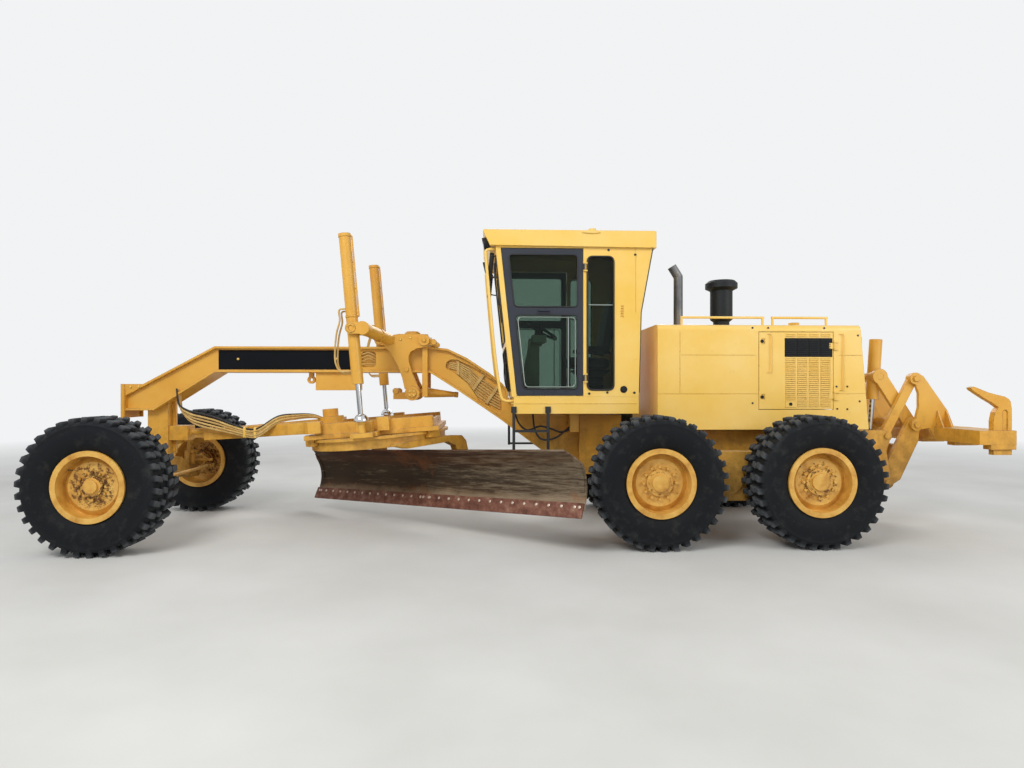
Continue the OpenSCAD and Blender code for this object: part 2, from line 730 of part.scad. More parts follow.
// The hanger that carries the front axle, with its pin, and the drawbar's socket
module axle_hanger() {
    color(yellow) difference() {
        union() {
            block([wheelbase - 150, -110, axle_top + 20], [wheelbase + fork_x[1], 110, 1500]);
            block([wheelbase - 120, -85, axle_pin_z - 70], [wheelbase - fork_x[0] - seat_gap, 85, axle_top + 21]);
            block([wheelbase + fork_x[0] + seat_gap, -85, axle_pin_z - 70],
                  [wheelbase + fork_x[1], 85, axle_top + 21]);
            x_bar(0, axle_pin_z, wheelbase - 121, wheelbase + fork_x[1], 45);
            block([wheelbase - 190, -16, 900], [wheelbase - 140, 16, 1560]);
            block([ball_x - 15, -90, ball_z - 90], [wheelbase - 149, 90, ball_z + 80]);
        }
        xz(-neck_w, neck_w) polygon(neck_line());
        translate([ball_x, 0, ball_z]) sphere(r = 52 + socket_slack, $fn = mid);
    }
}

// Cab

cab_y = cab_w / 2;
cab_eave_z = cab_top_z - roof_h;
cab_back = 911;
cab_knee_z = 2481;
cab_knee_x = 889;
cab_back_top = 757;
cab_front_low = 2312;
cab_front_top = 2490;
door_back = 1525;
door_z = [cab_floor_z + 10, cab_eave_z - 20];
front_slope = (cab_front_top - cab_front_low) / (cab_eave_z - cab_floor_z);
function front_at(z) = cab_front_low + (z - cab_floor_z) * front_slope;

module cab_base() {
    color(yellow) {
        difference() {
            block([cab_back, -cab_y, cab_base_z], [cab_front_low - 20, cab_y, cab_floor_z]);
            block([cab_back + 40, -cab_y + 40, cab_base_z - 1], [cab_front_low - 60, cab_y - 40, cab_floor_z - 30]);
            block([cab_front_low - 100, -neck_flange_w / 2 - gap, cab_base_z - 1],
                  [cab_front_low, neck_flange_w / 2 + gap, cab_floor_z - 30]);
        }
        block([cab_back + 300, -500, cab_base_z], [cab_back + 400, 500, cab_floor_z - 20]);
        block([1530, -500, cab_base_z], [1650, 500, cab_floor_z - 20]);
        block([1250, -220, 1335], [1500, 220, cab_floor_z - 20]);
    }
}

function cab_line(t) = [
    [cab_front_low - t, cab_floor_z + (t > 0 ? -1 : 0)], [cab_front_top - t, cab_eave_z + (t > 0 ? 1 : 0)],
    [cab_back_top + t, cab_eave_z + (t > 0 ? 1 : 0)], [cab_knee_x + t, cab_knee_z],
    [cab_back + t, cab_floor_z + (t > 0 ? -1 : 0)]
];

// A rounded window outline between two corners
module pane(p, q, r) {
    translate(p + [r, 0]) square([q.x - p.x - 2 * r, q.y - p.y]);
    translate(p + [0, r]) square([q.x - p.x, q.y - p.y - 2 * r]);
    for (c = [[p.x + r, p.y + r], [q.x - r, p.y + r], [p.x + r, q.y - r], [q.x - r, q.y - r]])
        translate(c) circle(r = r, $fn = small);
}

// The door opening from the side
module door_hole(g) {
    polygon([
        [door_back + g, door_z[0] + g], [front_at(door_z[0]) - 55 - g, door_z[0] + g],
        [front_at(door_z[1]) - 55 - g, door_z[1] - g], [door_back + g, door_z[1] - g]
    ]);
}

rear_pane = [[1190, cab_floor_z + 76], [1480, cab_eave_z - 110]];
cab_axis = [door_back - 5, cab_y + 13];
CAB_HINGE_Z = [cab_floor_z + 206, cab_eave_z - 225];

module cab_shell() {
    color(yellow) both() hinge_lugs(cab_axis, cab_y, CAB_HINGE_Z, 1);
    color(yellow) difference() {
        xz(-cab_y, cab_y) polygon(cab_line(0));
        xz(-cab_y + cab_t, cab_y - cab_t) polygon(cab_line(cab_t));
        xz(-cab_y - 1, cab_y + 1) door_hole(0);
        xz(-cab_y - 1, cab_y + 1) pane(rear_pane[0], rear_pane[1], 60);
        // Air slots and the filler's recess behind the doors
        for (s = [-1, 1]) translate([0, s * cab_y, 0]) {
            for (i = [0:4]) block([1080, -12, 2432 + i * 27], [1110, 12, 2448 + i * 27]);
            y_bar(1077, 1634, -14, 14, 40);
        }
        // Windscreens and the rear window
        yz(cab_front_low - 120, cab_front_top + 20) {
            pane([-cab_y + 90, 2180], [cab_y - 90, cab_eave_z - 80], 60);
            for (s = [-1, 1]) pane([s > 0 ? 60 : -cab_y + 90, 1620], [s > 0 ? cab_y - 90 : -60, 2100], 50);
        }
        yz(cab_back_top - 10, cab_back + 60)
            pane([-cab_y + 120, cab_knee_z + 60], [cab_y - 120, cab_eave_z - 80], 60);
    }
}

module cab_roof() {
    // The brackets on its sides, each with a round cap
    color(yellow) both() {
        xz(cab_y + roof_over - 60, cab_y + roof_over + 12) polygon([
            [1344, cab_top_z - 26], [1400, cab_top_z - 34], [1480, cab_top_z - 34], [1540, cab_top_z - 26],
            [1480, cab_top_z + 4], [1400, cab_top_z + 4]
        ]);
        translate([1424, cab_y - 6, cab_top_z + 3]) cylinder(r = 40, h = 20, $fn = small);
    }
    color(yellow) difference() {
        xz(-cab_y - roof_over, cab_y + roof_over) polygon([
            [cab_back_top - roof_over, cab_eave_z - 14], [cab_front_top + 20, cab_eave_z + seat_gap],
            [cab_front_top + 60, cab_eave_z + seat_gap], [cab_front_top + 136, cab_top_z - 12],
            [cab_front_top + 126, cab_top_z], [cab_back_top - roof_over + 12, cab_top_z],
            [cab_back_top - roof_over, cab_top_z - 12]
        ]);
        block([cab_back_top - 5, -cab_y - 5, cab_eave_z - 200],
              [cab_front_top + 5, cab_y + 5, cab_eave_z + seat_gap]);
        block([cab_back_top + 60, -cab_y + 60, cab_eave_z - 200], [cab_front_top - 60, cab_y - 60, cab_top_z - 30]);
    }
}
roof_over = 34;

// Heights between which the windscreen's plane is cut from
glass_z = [cab_floor_z - 50, cab_eave_z + 45];

module cab_glass() {
    color("#8fb0a8") {
        both() translate([0, cab_y - cab_t / 2 - glass_t / 2, 0])
            xz(0, glass_t) pane(rear_pane[0], rear_pane[1], 60);
        intersection() {
            xz(-cab_y, cab_y) polygon([
                [front_at(glass_z[0]) - 26, glass_z[0]], [front_at(glass_z[0]) - 26 + glass_t, glass_z[0]],
                [front_at(glass_z[1]) - 26 + glass_t, glass_z[1]], [front_at(glass_z[1]) - 26, glass_z[1]]
            ]);
            yz(cab_front_low - 120, cab_front_top + 20) {
                pane([-cab_y + 90, 2180], [cab_y - 90, cab_eave_z - 80], 60);
                for (s = [-1, 1]) pane([s > 0 ? 60 : -cab_y + 90, 1620], [s > 0 ? cab_y - 90 : -60, 2100], 50);
            }
        }
        intersection() {
            xz(-cab_y, cab_y) polygon([
                [cab_knee_x + 20, cab_knee_z], [cab_knee_x + 26, cab_knee_z],
                [cab_back_top + 26, cab_eave_z], [cab_back_top + 20, cab_eave_z]
            ]);
            yz(cab_back_top - 10, cab_back + 60)
                pane([-cab_y + 120, cab_knee_z + 60], [cab_y - 120, cab_eave_z - 80], 60);
        }
    }
}

// Heights of the door's middle rail
door_rail_z = [cab_floor_z + 896, cab_floor_z + 986];

// Outlines of the two panes of a cab door, low or high
module door_pane(low) {
    z0 = low ? door_z[0] + 75 : door_rail_z[1];
    z1 = low ? door_rail_z[0] : door_z[1] - 75;
    offset(r = 38, $fn = small) offset(delta = -38) polygon([
        [door_back + 65, z0], [front_at(z0) - 135, z0], [front_at(z1) - 135, z1], [door_back + 65, z1]
    ]);
}

module cab_door(side) {
    color("#23283a") on(side) hinge_knuckle(cab_axis, cab_y, CAB_HINGE_Z);
    color("#23283a") on(side) difference() {
        xz(cab_y - 40, cab_y) door_hole(door_gap);
        for (low = [true, false]) xz(cab_y - 41, cab_y + 1) door_pane(low);
    }
    // The handle on the middle rail
    color("#23283a") on(side) {
        block([1885, cab_y - 1, door_rail_z[0] + 16], [2035, cab_y + 8, door_rail_z[1] - 16]);
        x_bar(cab_y + 36, door_rail_z[0] + 45, 1895, 2025, 9, 12);
        for (x = [1905, 2015]) y_bar(x, door_rail_z[0] + 45, cab_y + 7, cab_y + 36, 8, 12);
    }
}

module door_glass(side) {
    color("#8fb0a8") on(side) for (low = [true, false]) xz(cab_y - 23, cab_y - 23 + glass_t) door_pane(low);
}

module seat() {
    color("#2b2b2d") {
        block([1180, -120, cab_floor_z], [1480, 120, 1880]);
        block([1120, -260, 1880], [1620, 260, 2010]);
        xz(-250, 250) polygon([[1120, 2005], [1240, 2005], [1130, 2700], [1020, 2700]]);
        both() block([1150, 262, 2080], [1500, 330, 2140]);
        both() block([1150, 200, 1960], [1200, 300, 2120]);
    }
}

module console() {
    color("#7c8272") {
        xz(-150, 150) polygon([[1960, cab_floor_z], [2200, cab_floor_z], [2060, 2230], [1960, 2230]]);
        both() block([1900, 130, 2180], [2060, 420, 2260]);
    }
    color(black) {
        bar([1990, 0, 2225], [1930, 0, 2330], 30);
        translate([1920, 0, 2345]) rotate([0, -30, 0]) difference() {
            cylinder(r = 210, h = 30, center = true, $fn = mid);
            cylinder(r = 180, h = 40, center = true, $fn = mid);
        }
        translate([1920, 0, 2345]) rotate([0, -30, 0]) cube([30, 380, 20], center = true);
        both() for (y = [180, 240, 300, 360]) bar([1980, y, 2259], [1960, y, 2390], 12);
    }
}

ladder_x = [1915, 2290];
module ladders() {
    color(black) both() {
        for (x = ladder_x) bar([x, cab_y + 16, 900], [x, cab_y + 16, cab_base_z + 60], 16);
        for (z = [920, 1180]) block([ladder_x[0], cab_y - 30, z - 12], [ladder_x[1], cab_y + 50, z + 12]);
        for (x = ladder_x) block([x - 30, cab_y + 0.2, cab_base_z + 10], [x + 30, cab_y + 20, cab_base_z + 80]);
    }
}

// Lift linkage

lift_y = 850;
lift_top = [ball_x - 2095, neck_top + 145];
lift_eye = [ball_x - 2182, ball_z + 170];
lift_lean = atan2(lift_top.x - lift_eye.x, lift_top.y - lift_eye.y);
saddle_x = [ball_x - 2836, ball_x - 2400];

// Middle of the bar that locks the two levers together
lock_bar = [saddle_x[0] + 186, 1590];

// Outline of a lever, from the casting over the neck down to the lock bar; columns are X from the saddle's
// back, and Z
LEVER = [
    [5, 2275], [93, 2279], [341, 2279], [436, 2262], [548, 2200], [476, 2100], [425, 2037], [354, 1913],
    [302, 1771], [272, 1638], [105, 1640], [152, 1736], [196, 1860], [226, 1960], [228, 2020], [206, 2070],
    [136, 2110], [66, 2122], [5, 2128]
];

module lift_saddle() {
    x0 = saddle_x[0];
    y0 = neck_flange_w / 2 + seat_gap;
    color(yellow) {
        // The casting over the neck with its round cap
        xz(-240, 240) polygon([
            [x0 + 2, neck_top + 0.2], [x0 + 5, 2262], [x0 + 120, 2270], [x0 + 300, 2270], [x0 + 360, 2255],
            [saddle_x[1], neck_top + 0.2]
        ]);
        translate([x0 + 213, 0, 2260]) cylinder(r = 93, h = 52, $fn = mid);
        translate([x0 + 213, 0, 2300]) cylinder(r = 74, h = 28, $fn = mid);
        y_bar(x0 + 49, 2208, -285, 285, 66);
        y_bar(x0 + 49, 2208, -300, 300, 24, small);
        both() {
            block([x0 - 70, y0 + 8, 2150], [x0 + 20, 250, 2222]);
            y_bar(x0 - 66, 2186, y0 + 8, 262, 30, small);
            xz(y0, 262) polygon([for (q = LEVER) [x0 + q.x, q.y]]);
            y_bar(x0 + 250, 1863, 261, 276, 24, small);
            block([x0 + 12, y0, 1550], [x0 + 76, 216, 2140]);
            y_bar(lock_bar.x, lock_bar.y, y0, 278, 84);
            y_bar(lock_bar.x, lock_bar.y, 277, 296, 50);
            // Fingers in front of the lock bar
            block([lock_bar.x + 30, 120, 1520], [lock_bar.x + 232, 160, 1600]);
            y_bar(lock_bar.x + 206, 1616, 116, 164, 36, small);
            // Arm out to the yoke of the lift cylinder
            bar([lift_top.x - 305, 190, 2208], [lift_top.x - 120, 762, lift_top.y - 2], 68, mid);
            bar([lift_top.x - 215, 468, 2242], [lift_top.x - 204, 502, 2246], 76, mid);
            yoke();
        }
        // The lock bar and the cylinder of the centre shift
        y_bar(lock_bar.x, lock_bar.y, -y0 - 1, y0 + 1, 58);
        y_bar(x0 + 44, 1580, -y0 - 1, y0 + 1, 28);
        taper([x0 + 60, 40, 1600], [x0 - 330, -40, 1570], 62, 26);
        bar([x0 - 290, -32, 1573], [x0 - 330, -40, 1570], 34, mid);
        bar([x0 + 20, 34, 1600], [lock_bar.x, 60, 1596], 40, mid);
    }
}

// The fork at the end of a lift arm, with the two plates that hold the barrel's trunnion
module yoke() {
    difference() {
        union() {
            y_bar(lift_top.x - 118, lift_top.y, lift_y - 105, lift_y + 105, 72);
            for (y = [lift_y - 105, lift_y + 80])
                xz(y, y + 25) link2d([lift_top.x - 118, lift_top.y], lift_top, 72, 62, 124);
            for (y = [lift_y - 112, lift_y + 104]) y_bar(lift_top.x, lift_top.y, y, y + 8, 48);
        }
        y_bar(lift_top.x, lift_top.y, lift_y - 120, lift_y + 120, 28 + run);
        y_bar(lift_top.x, lift_top.y, lift_y - 80, lift_y + 80, 66);
        translate([lift_top.x, lift_y, lift_top.y]) rotate([0, lift_lean, 0])
            translate([0, 0, -200]) cylinder(r = 76, h = 400, $fn = mid);
    }
}

module at_lift(side) { on(side) translate([lift_top.x, lift_y, lift_top.y]) rotate([0, lift_lean, 0]) children(); }

barrel_up = 1010;
barrel_down = 590;
lift_len = norm(lift_top - lift_eye);
lift_rod_r = 28;
ball_r = 48;
ball_slack = 17;
// How far the rod reaches up inside the barrel over the trunnion
rod_up = 790;

module lift_barrel(side) {
    color(yellow) at_lift(side) difference() {
        union() {
            translate([0, 0, -barrel_down]) cylinder(r = 62, h = barrel_up + barrel_down, $fn = mid);
            y_bar(0, 0, -104, 104, 28);
            y_bar(0, 0, -76, 76, 60);
            translate([0, 0, 120]) cylinder(r = 67, h = 20, $fn = mid);
            translate([0, 0, barrel_up - 34]) cylinder(r = 67, h = 34, $fn = mid);
            // The pipe up its back
            translate([-75, 0, 124]) cylinder(r = 9, h = barrel_up - 150, $fn = small);
            for (z = [124, 420, 700, barrel_up - 30]) block([-76, -8, z], [-50, 8, z + 14]);
        }
        translate([0, 0, -barrel_down - 1]) cylinder(r = lift_rod_r + seat_gap, h = 71, $fn = mid);
        translate([0, 0, -barrel_down + 69])
            cylinder(r = lift_rod_r + 12, h = barrel_up + barrel_down - 110, $fn = mid);
    }
}

module lift_rod(side) {
    color("silver") at_lift(side) {
        translate([0, 0, -lift_len + ball_r + ball_slack])
            cylinder(r = lift_rod_r, h = lift_len + rod_up - ball_r - ball_slack, $fn = mid);
        // The cap over the ball, open below
        difference() {
            translate([0, 0, -lift_len]) sphere(r = ball_r + ball_slack + 14, $fn = mid);
            translate([0, 0, -lift_len]) sphere(r = ball_r + ball_slack, $fn = mid);
            translate([0, 0, -lift_len - 100]) cylinder(r = 100, h = 95, $fn = mid);
        }
    }
}

// Drawbar, circle and blade, in the drawbar's own frame with the ball at its origin

module at_drawbar() {
    translate([ball_x, 0, ball_z]) rotate([0, drawbar_pitch, 0]) children();
}
circle_top = -185;
side_y = 600;

module drawbar() {
    color(yellow) at_drawbar() {
        sphere(r = 52, $fn = mid);
        x_bar(0, 0, -260, -40, 40);
        // Two beams from the ball to the corners of the plate
        both() translate([0, 0, -110]) linear_extrude(130) polygon([
            [-180, 0], [-180, 60], [-300, 110], [740 - ball_to_circle, 520], [660 - ball_to_circle, 640],
            [520 - ball_to_circle, 640], [520 - ball_to_circle, 520], [-420, 20], [-420, 0]
        ]);
        // The plate over the circle, open in its middle
        translate([0, 0, circle_top + 5]) linear_extrude(50) difference() {
            union() {
                translate([-ball_to_circle - 760, -side_y]) square([1480, 2 * side_y]);
                translate([-ball_to_circle - 120, -lift_y + 40]) square([240, 2 * lift_y - 80]);
            }
            translate([-ball_to_circle, 0]) circle(r = 420, $fn = fine);
        }
        both() translate([0, 0, circle_top + 54]) linear_extrude(120) difference() {
            translate([-ball_to_circle - 700, side_y - 140]) square([1300, 120]);
            translate([-ball_to_circle - 620, side_y - 100]) square([1100, 60]);
        }
        translate([-ball_to_circle - 700, -side_y + 30, circle_top + 54]) cube([130, 2 * side_y - 60, 80]);
        // Ball studs for the lift rods
        both() {
            translate([eye_x, lift_y, eye_z]) sphere(r = ball_r, $fn = mid);
            translate([eye_x, lift_y, circle_top + 30]) cylinder(r = 38, h = eye_z - circle_top - 30, $fn = mid);
            translate([eye_x - 120, lift_y - 90, circle_top + 5]) cube([240, 150, 50]);
            translate([eye_x - 90, lift_y - 185, circle_top + 54]) cube([180, 80, 110]);
            translate([eye_x - 260, lift_y - 300, circle_top + 54]) cube([130, 120, 150]);
        }
        // The circle drive and its pinion inside the ring
        translate([-ball_to_circle + 560, 0, circle_top - 106]) cylinder(r = 95, h = 112, $fn = small);
        translate([-ball_to_circle + 560, 0, circle_top + 50]) cylinder(r = 150, h = 190, $fn = mid);
        translate([-ball_to_circle + 560, 0, circle_top + 239]) cylinder(r = 90, h = 90, $fn = mid);
        // Shoes that hold the circle by the flange of its ring
        for (a = SHOE_A) translate([-ball_to_circle, 0, 0]) rotate(a) {
            translate([circle_r + 6, -80, circle_top - ring_flange - 40]) cube([40, 160, ring_flange + 80]);
            translate([circle_r - 34, -80, circle_top - ring_flange - 40]) cube([50, 160, 40 - seat_gap]);
            translate([circle_r - 110, -80, circle_top + seat_gap]) cube([156, 160, 54]);
        }
    }
}
// Angles of the shoes of the circle
SHOE_A = [35, -35, 145, -145];

// Place of the lift rod's eye in the drawbar's frame
eye_dx = lift_eye.x - ball_x;
eye_dz = lift_eye.y - ball_z;
eye_x = eye_dx * cos(drawbar_pitch) - eye_dz * sin(drawbar_pitch);
eye_z = eye_dx * sin(drawbar_pitch) + eye_dz * cos(drawbar_pitch);

module at_circle() {
    at_drawbar() translate([-ball_to_circle, 0, 0]) rotate(blade_angle) children();
}

arm_in = 690;
arm_w = 90;
tip = [-480, -800];

// A tooth inside the ring: columns are the angle as a share of the pitch, and 1 at the tooth's tip or 0 at its root
GEAR = [[-0.3, 0.1], [-0.14, 1], [0.14, 1], [0.3, 0.1]];

// Half section of the ring: columns are radius and height
ring_flange = 30;
module circle_ring() {
    color(yellow) at_circle() {
        rotate_extrude($fn = fine) polygon([
            [circle_r - circle_band, circle_top], [circle_r, circle_top], [circle_r, circle_top - ring_flange],
            [circle_r - 40, circle_top - ring_flange], [circle_r - 40, circle_top - circle_h],
            [circle_r - circle_band, circle_top - circle_h]
        ]);
        // The teeth inside the ring
        translate([0, 0, circle_top - circle_h + 20]) linear_extrude(70) difference() {
            circle(r = circle_r - circle_band + 2, $fn = fine);
            polygon([for (i = [0:circle_teeth - 1], k = GEAR)
                let (a = (i + k[0]) * 360 / circle_teeth, r = circle_r - circle_band - k[1] * 30)
                r * [cos(a), sin(a)]]);
        }
        // The arms down to the blade
        both() difference() {
            xz(arm_in, arm_in + arm_w) polygon([
                [430, arm_top - 10], [280, arm_top], [-420, arm_top], [-600, arm_top - 20], [-670, arm_top - 90],
                [-690, arm_top - 200], [-640, tip.y - 40], [-560, tip.y - 75], [-420, tip.y - 75],
                [-425, tip.y + 90], [-520, arm_top - 240], [-480, arm_top - 130], [-360, arm_top - 72],
                [280, arm_top - 72], [430, arm_top - 30]
            ]);
            y_bar(tip.x, tip.y, arm_in - 1, arm_in + arm_w + 1, 35 + run);
        }
        block([-680, -arm_in - 1, -640], [-600, arm_in + 1, -480]);
    }
}
arm_top = circle_top - ring_flange - 60;

mb_x = 148;
arc_low = -29;
arc_high = 55;
arc_z = -blade_drop + edge_h * cos(arc_low) - blade_r * sin(arc_low);
function arc_point(a, r) = [mb_x - r * cos(a), arc_z + r * sin(a)];
bracket_x = -372;
rail_z_low = arc_z - 190;
rail_z_high = arc_z + 190;

// The bracket that carries the blade on its rails and tips on the arms
module blade_bracket() {
    color(yellow) at_circle() {
        both() xz(arm_in - 80, arm_in - gap) polygon([
            [tip.x - 50, tip.y - 50], [tip.x + 50, tip.y - 60], [bracket_x, rail_z_low - 30],
            [bracket_x, rail_z_high + 40],
            [-420, rail_z_high + 40], [-560, tip.y + 60], [tip.x - 50, tip.y + 20]
        ]);
        y_bar(tip.x, tip.y, -arm_in - arm_w - 20, arm_in + arm_w + 20, 35);
        for (z = [rail_z_low, rail_z_high]) y_bar(-400, z, -arm_in + 10, arm_in - 10, 24, small);
        // The barrel of the side shift cylinder
        y_bar(-430, arc_z, -arm_in + 79, arm_in - 79, 45);
    }
}

module moldboard() {
    color("#6b5444") at_circle() translate([0, blade_shift, 0]) {
        difference() {
            union() {
                xz(-blade_l / 2, blade_l / 2) {
                    difference() {
                        translate([mb_x, arc_z]) circle(r = blade_r + blade_t, $fn = 96);
                        translate([mb_x, arc_z]) circle(r = blade_r, $fn = 96);
                        translate([mb_x, arc_z]) polygon([
                            [0, 0], 2 * blade_r * [-cos(arc_high), sin(arc_high)], [-2 * blade_r, 3 * blade_r],
                            [2 * blade_r, 3 * blade_r], [2 * blade_r, -3 * blade_r], [-2 * blade_r, -3 * blade_r],
                            2 * blade_r * [-cos(arc_low), sin(arc_low)]
                        ]);
                    }
                    // The flat foot that the cutting edge is bolted to
                    translate(arc_point(arc_low, blade_r)) rotate(edge_turn)
                        translate([-1, -blade_t]) square([edge_lap + 1, blade_t]);
                }
                // The strips that stiffen both ends of its face
                for (e = [-1, 1]) xz(e * (blade_l / 2 - 45) - 30, e * (blade_l / 2 - 45) + 30) difference() {
                    translate([mb_x, arc_z]) circle(r = blade_r + 1, $fn = 96);
                    translate([mb_x, arc_z]) circle(r = blade_r - 8, $fn = 96);
                    translate([mb_x, arc_z]) polygon([
                        [0, 0], 2 * blade_r * [-cos(arc_high - 3), sin(arc_high - 3)], [-2 * blade_r, 3 * blade_r],
                        [2 * blade_r, 3 * blade_r], [2 * blade_r, -3 * blade_r], [-2 * blade_r, -3 * blade_r],
                        2 * blade_r * [-cos(arc_low + 16), sin(arc_low + 16)]
                    ]);
                }
            }
            // The cut corners at the top of both ends
            for (s = [-1, 1]) yz(-600, 200) polygon([
                [s * (blade_l / 2 - 120), arc_z + 340], [s * (blade_l / 2 + 1), arc_z + 190],
                [s * (blade_l / 2 + 1), arc_z + 440]
            ]);
        }
        // The rails on its back
        for (z = [rail_z_low, rail_z_high]) block([bracket_x + seat_gap, -1300, z - 14],
            [mb_x - sqrt(pow(blade_r + blade_t, 2) - 190 * 190) + 6, 1300, z + 14]);
    }
}

edge_turn = -90 - arc_low;
edge_lap = 65;
module cutting_edge() {
    color("#7a4a38") at_circle() translate([0, blade_shift, 0]) xz(-blade_l / 2, blade_l / 2)
        translate(arc_point(arc_low, blade_r)) rotate(edge_turn)
            translate([1, seat_gap]) square([edge_h - 1, edge_t]);
}

// Front axle

lean_y = 800;
lean_z = 550;
bar_z = 960;
axle_top = 850;
axle_pin_z = 760;
// Where the fork plates begin and end in front of the axle's middle, and behind it
fork_x = [56, 82];

module front_axle() {
    color(yellow) difference() {
        union() {
            yz(wheelbase - fork_x[0], wheelbase + fork_x[0]) polygon([
                [-lean_y + 130, 505], [-lean_y + 130, 620], [-420, 790], [-120, axle_top],
                [120, axle_top], [420, 790], [lean_y - 130, 620], [lean_y - 130, 505], [380, 620], [120, 650], [-120, 650], [-380, 620]
            ]);
            both() for (x = [-fork_x[1], fork_x[0]]) yz(wheelbase + x, wheelbase + x + fork_x[1] - fork_x[0]) {
                translate([lean_y, lean_z]) circle(r = 50, $fn = mid);
                translate([lean_y - 200, lean_z - 35]) square([200, 70]);
            }
            both() block([wheelbase - fork_x[1], lean_y - 200, 530], [wheelbase + fork_x[1], lean_y - 130, 590]);
        }
        both() x_bar(lean_y, lean_z, wheelbase - 200, wheelbase + 200, 30 + run);
        x_bar(0, axle_pin_z, wheelbase - 200, wheelbase + 200, 45 + run);
    }
}

fork_low = [615, 650];
fork_high = [805, 840];
lean_half = 50;

module lean_bracket(side) {
    x0 = wheelbase - lean_half;
    x1 = wheelbase + lean_half;
    color(yellow) on(side) {
        difference() {
            union() {
                x_bar(lean_y, lean_z, x0, x1, 48);
                block([x0, lean_y - 45, lean_z], [x1, lean_y + 45, fork_low[1]]);
                block([x0, lean_y - 70, fork_low[0]], [x1, lean_y + 60, fork_low[1]]);
                block([x0, lean_y - 70, fork_high[0]], [x1, lean_y + 60, fork_high[1]]);
                block([wheelbase - 5, lean_y - 100, fork_low[0]], [x1, lean_y - 69, fork_high[1]]);
                block([wheelbase, lean_y - 36, fork_high[1] - 1], [x1, lean_y + 30, bar_z]);
                x_bar(lean_y, bar_z, wheelbase, x1, 34);
            }
            translate([wheelbase, lean_y, fork_low[0] - 1]) cylinder(r = 28 + run, h = 300, $fn = mid);
        }
        x_bar(lean_y, lean_z, wheelbase - fork_x[1] - 14, wheelbase + fork_x[1] + 10, 30);
        x_bar(lean_y, bar_z, wheelbase, wheelbase + lean_bar_x[1] + 10, 16);
    }
}

lean_bar_x = [94, 126];
module lean_bar() {
    color(yellow) difference() {
        union() {
            block([wheelbase + lean_bar_x[0], -lean_y, bar_z - 26],
                  [wheelbase + lean_bar_x[1], lean_y, bar_z + 26]);
            both() x_bar(lean_y, bar_z, wheelbase + lean_bar_x[0], wheelbase + lean_bar_x[1], 34);
        }
        both() x_bar(lean_y, bar_z, wheelbase, wheelbase + 200, 16 + run);
    }
}

arm_back = 230;
arm_z = 700;
arm_t = 30;
module knuckle(side) {
    color(yellow) on(side) {
        translate([wheelbase, lean_y, fork_low[1] + 5])
            cylinder(r = 46, h = fork_high[0] - fork_low[1] - 10, $fn = mid);
        translate([wheelbase, lean_y, fork_low[0]]) cylinder(r = 28, h = fork_high[1] - fork_low[0], $fn = mid);
        y_bar(wheelbase, tyre_r + 43, lean_y, lean_y + 95, 40);
        y_bar(wheelbase, tyre_r, lean_y + 90, track / 2 + 80, spindle_front);
        y_bar(wheelbase, tyre_r, lean_y + 90, track / 2 - rim_w / 2 - 6, 72);
        difference() {
            translate([0, 0, arm_z]) linear_extrude(30) {
                translate([wheelbase, lean_y]) circle(r = 44, $fn = mid);
                translate([wheelbase - arm_back, lean_y]) circle(r = 34, $fn = mid);
                translate([wheelbase - arm_back, lean_y - 26]) square([arm_back, 52]);
            }
            translate([wheelbase - arm_back, lean_y, arm_z - 1]) cylinder(r = 16 + run, h = 40, $fn = small);
        }
    }
}

tie_z = arm_z - 60;
module tie_yoke() {
    color(yellow) translate([wheelbase - arm_back, lean_y, 0]) {
        translate([0, 0, tie_z - 20]) cylinder(r = 16, h = arm_z + 40 - tie_z + 20, $fn = small);
        x_bar(0, tie_z, -20, 20, 22, small);
        x_bar(0, tie_z, -48, 48, 12, small);
    }
}

module tie_rod() {
    x = wheelbase - arm_back;
    color(yellow) difference() {
        union() {
            y_bar(x, tie_z, -lean_y + 70, lean_y - 60, 20, small);
            both() {
                block([x - 48, lean_y - 90, tie_z - 22], [x + 48, lean_y - 50, tie_z + 22]);
                for (d = [-48, 26]) block([x + d, lean_y - 60, tie_z - 22], [x + d + 22, lean_y + 26, tie_z + 22]);
            }
        }
        both() x_bar(lean_y, tie_z, x - 60, x + 60, 12 + run, small);
    }
}

// Stations of the pipes in the open side of the neck; columns are the place along the bend, Z of the lowest pipe,
// the step up to the next one, and the first and last pipe that get there
PIPE = [
    [0.76, 1852, 21, 2, 5], [0.64, 1822, 22, 0, 6], [0.5, 1722, 28, 0, 6], [0.38, 1562, 38, 0, 6],
    [0.26, 1484, 38, 0, 6], [0.087, 1404, 33, 0, 6]
];
pipes = 7;
pipe_r = 10;
// Strips that hold them; columns are the place along the bend at Z 1640, and the strip's lean
STRIP = [[0.64, 0], [0.44, 35], [0.14, 35]];

module hoses() {
    y = neck_w / 2 - recess + pipe_r + 2;
    color("#b98f3f") both() {
        for (k = [0:pipes - 1])
            swept([for (q = PIPE) if (k >= q[3] && k <= q[4]) [bend_x(q[0]), q[1] + k * q[2]]], y, pipe_r);
        for (t = STRIP) xz(neck_w / 2 - recess + 0.3, neck_w / 2 - 8) intersection() {
            translate([bend_x(t[0]), 1640]) rotate(t[1]) square([34, 700], center = true);
            offset(delta = -10) polygon([for (q = PIPE_RECESS) [bend_x(q[0]), q[1]]]);
        }
    }
}

// Grab bars beside the windscreen; columns are X from the foot of the windscreen, and Z from the cab's floor
GRAB = [
    [181, 1624], [245, 1620], [278, 1600], [280, 1511], [225, 882], [179, 419], [123, 40], [77, -40], [-18, -46]
];
grab_r = 17;

module grab_bars() {
    color(yellow) both()
        swept([for (q = GRAB) [cab_front_low + q[0], cab_floor_z + q[1]]], 690, grab_r, 12);
}

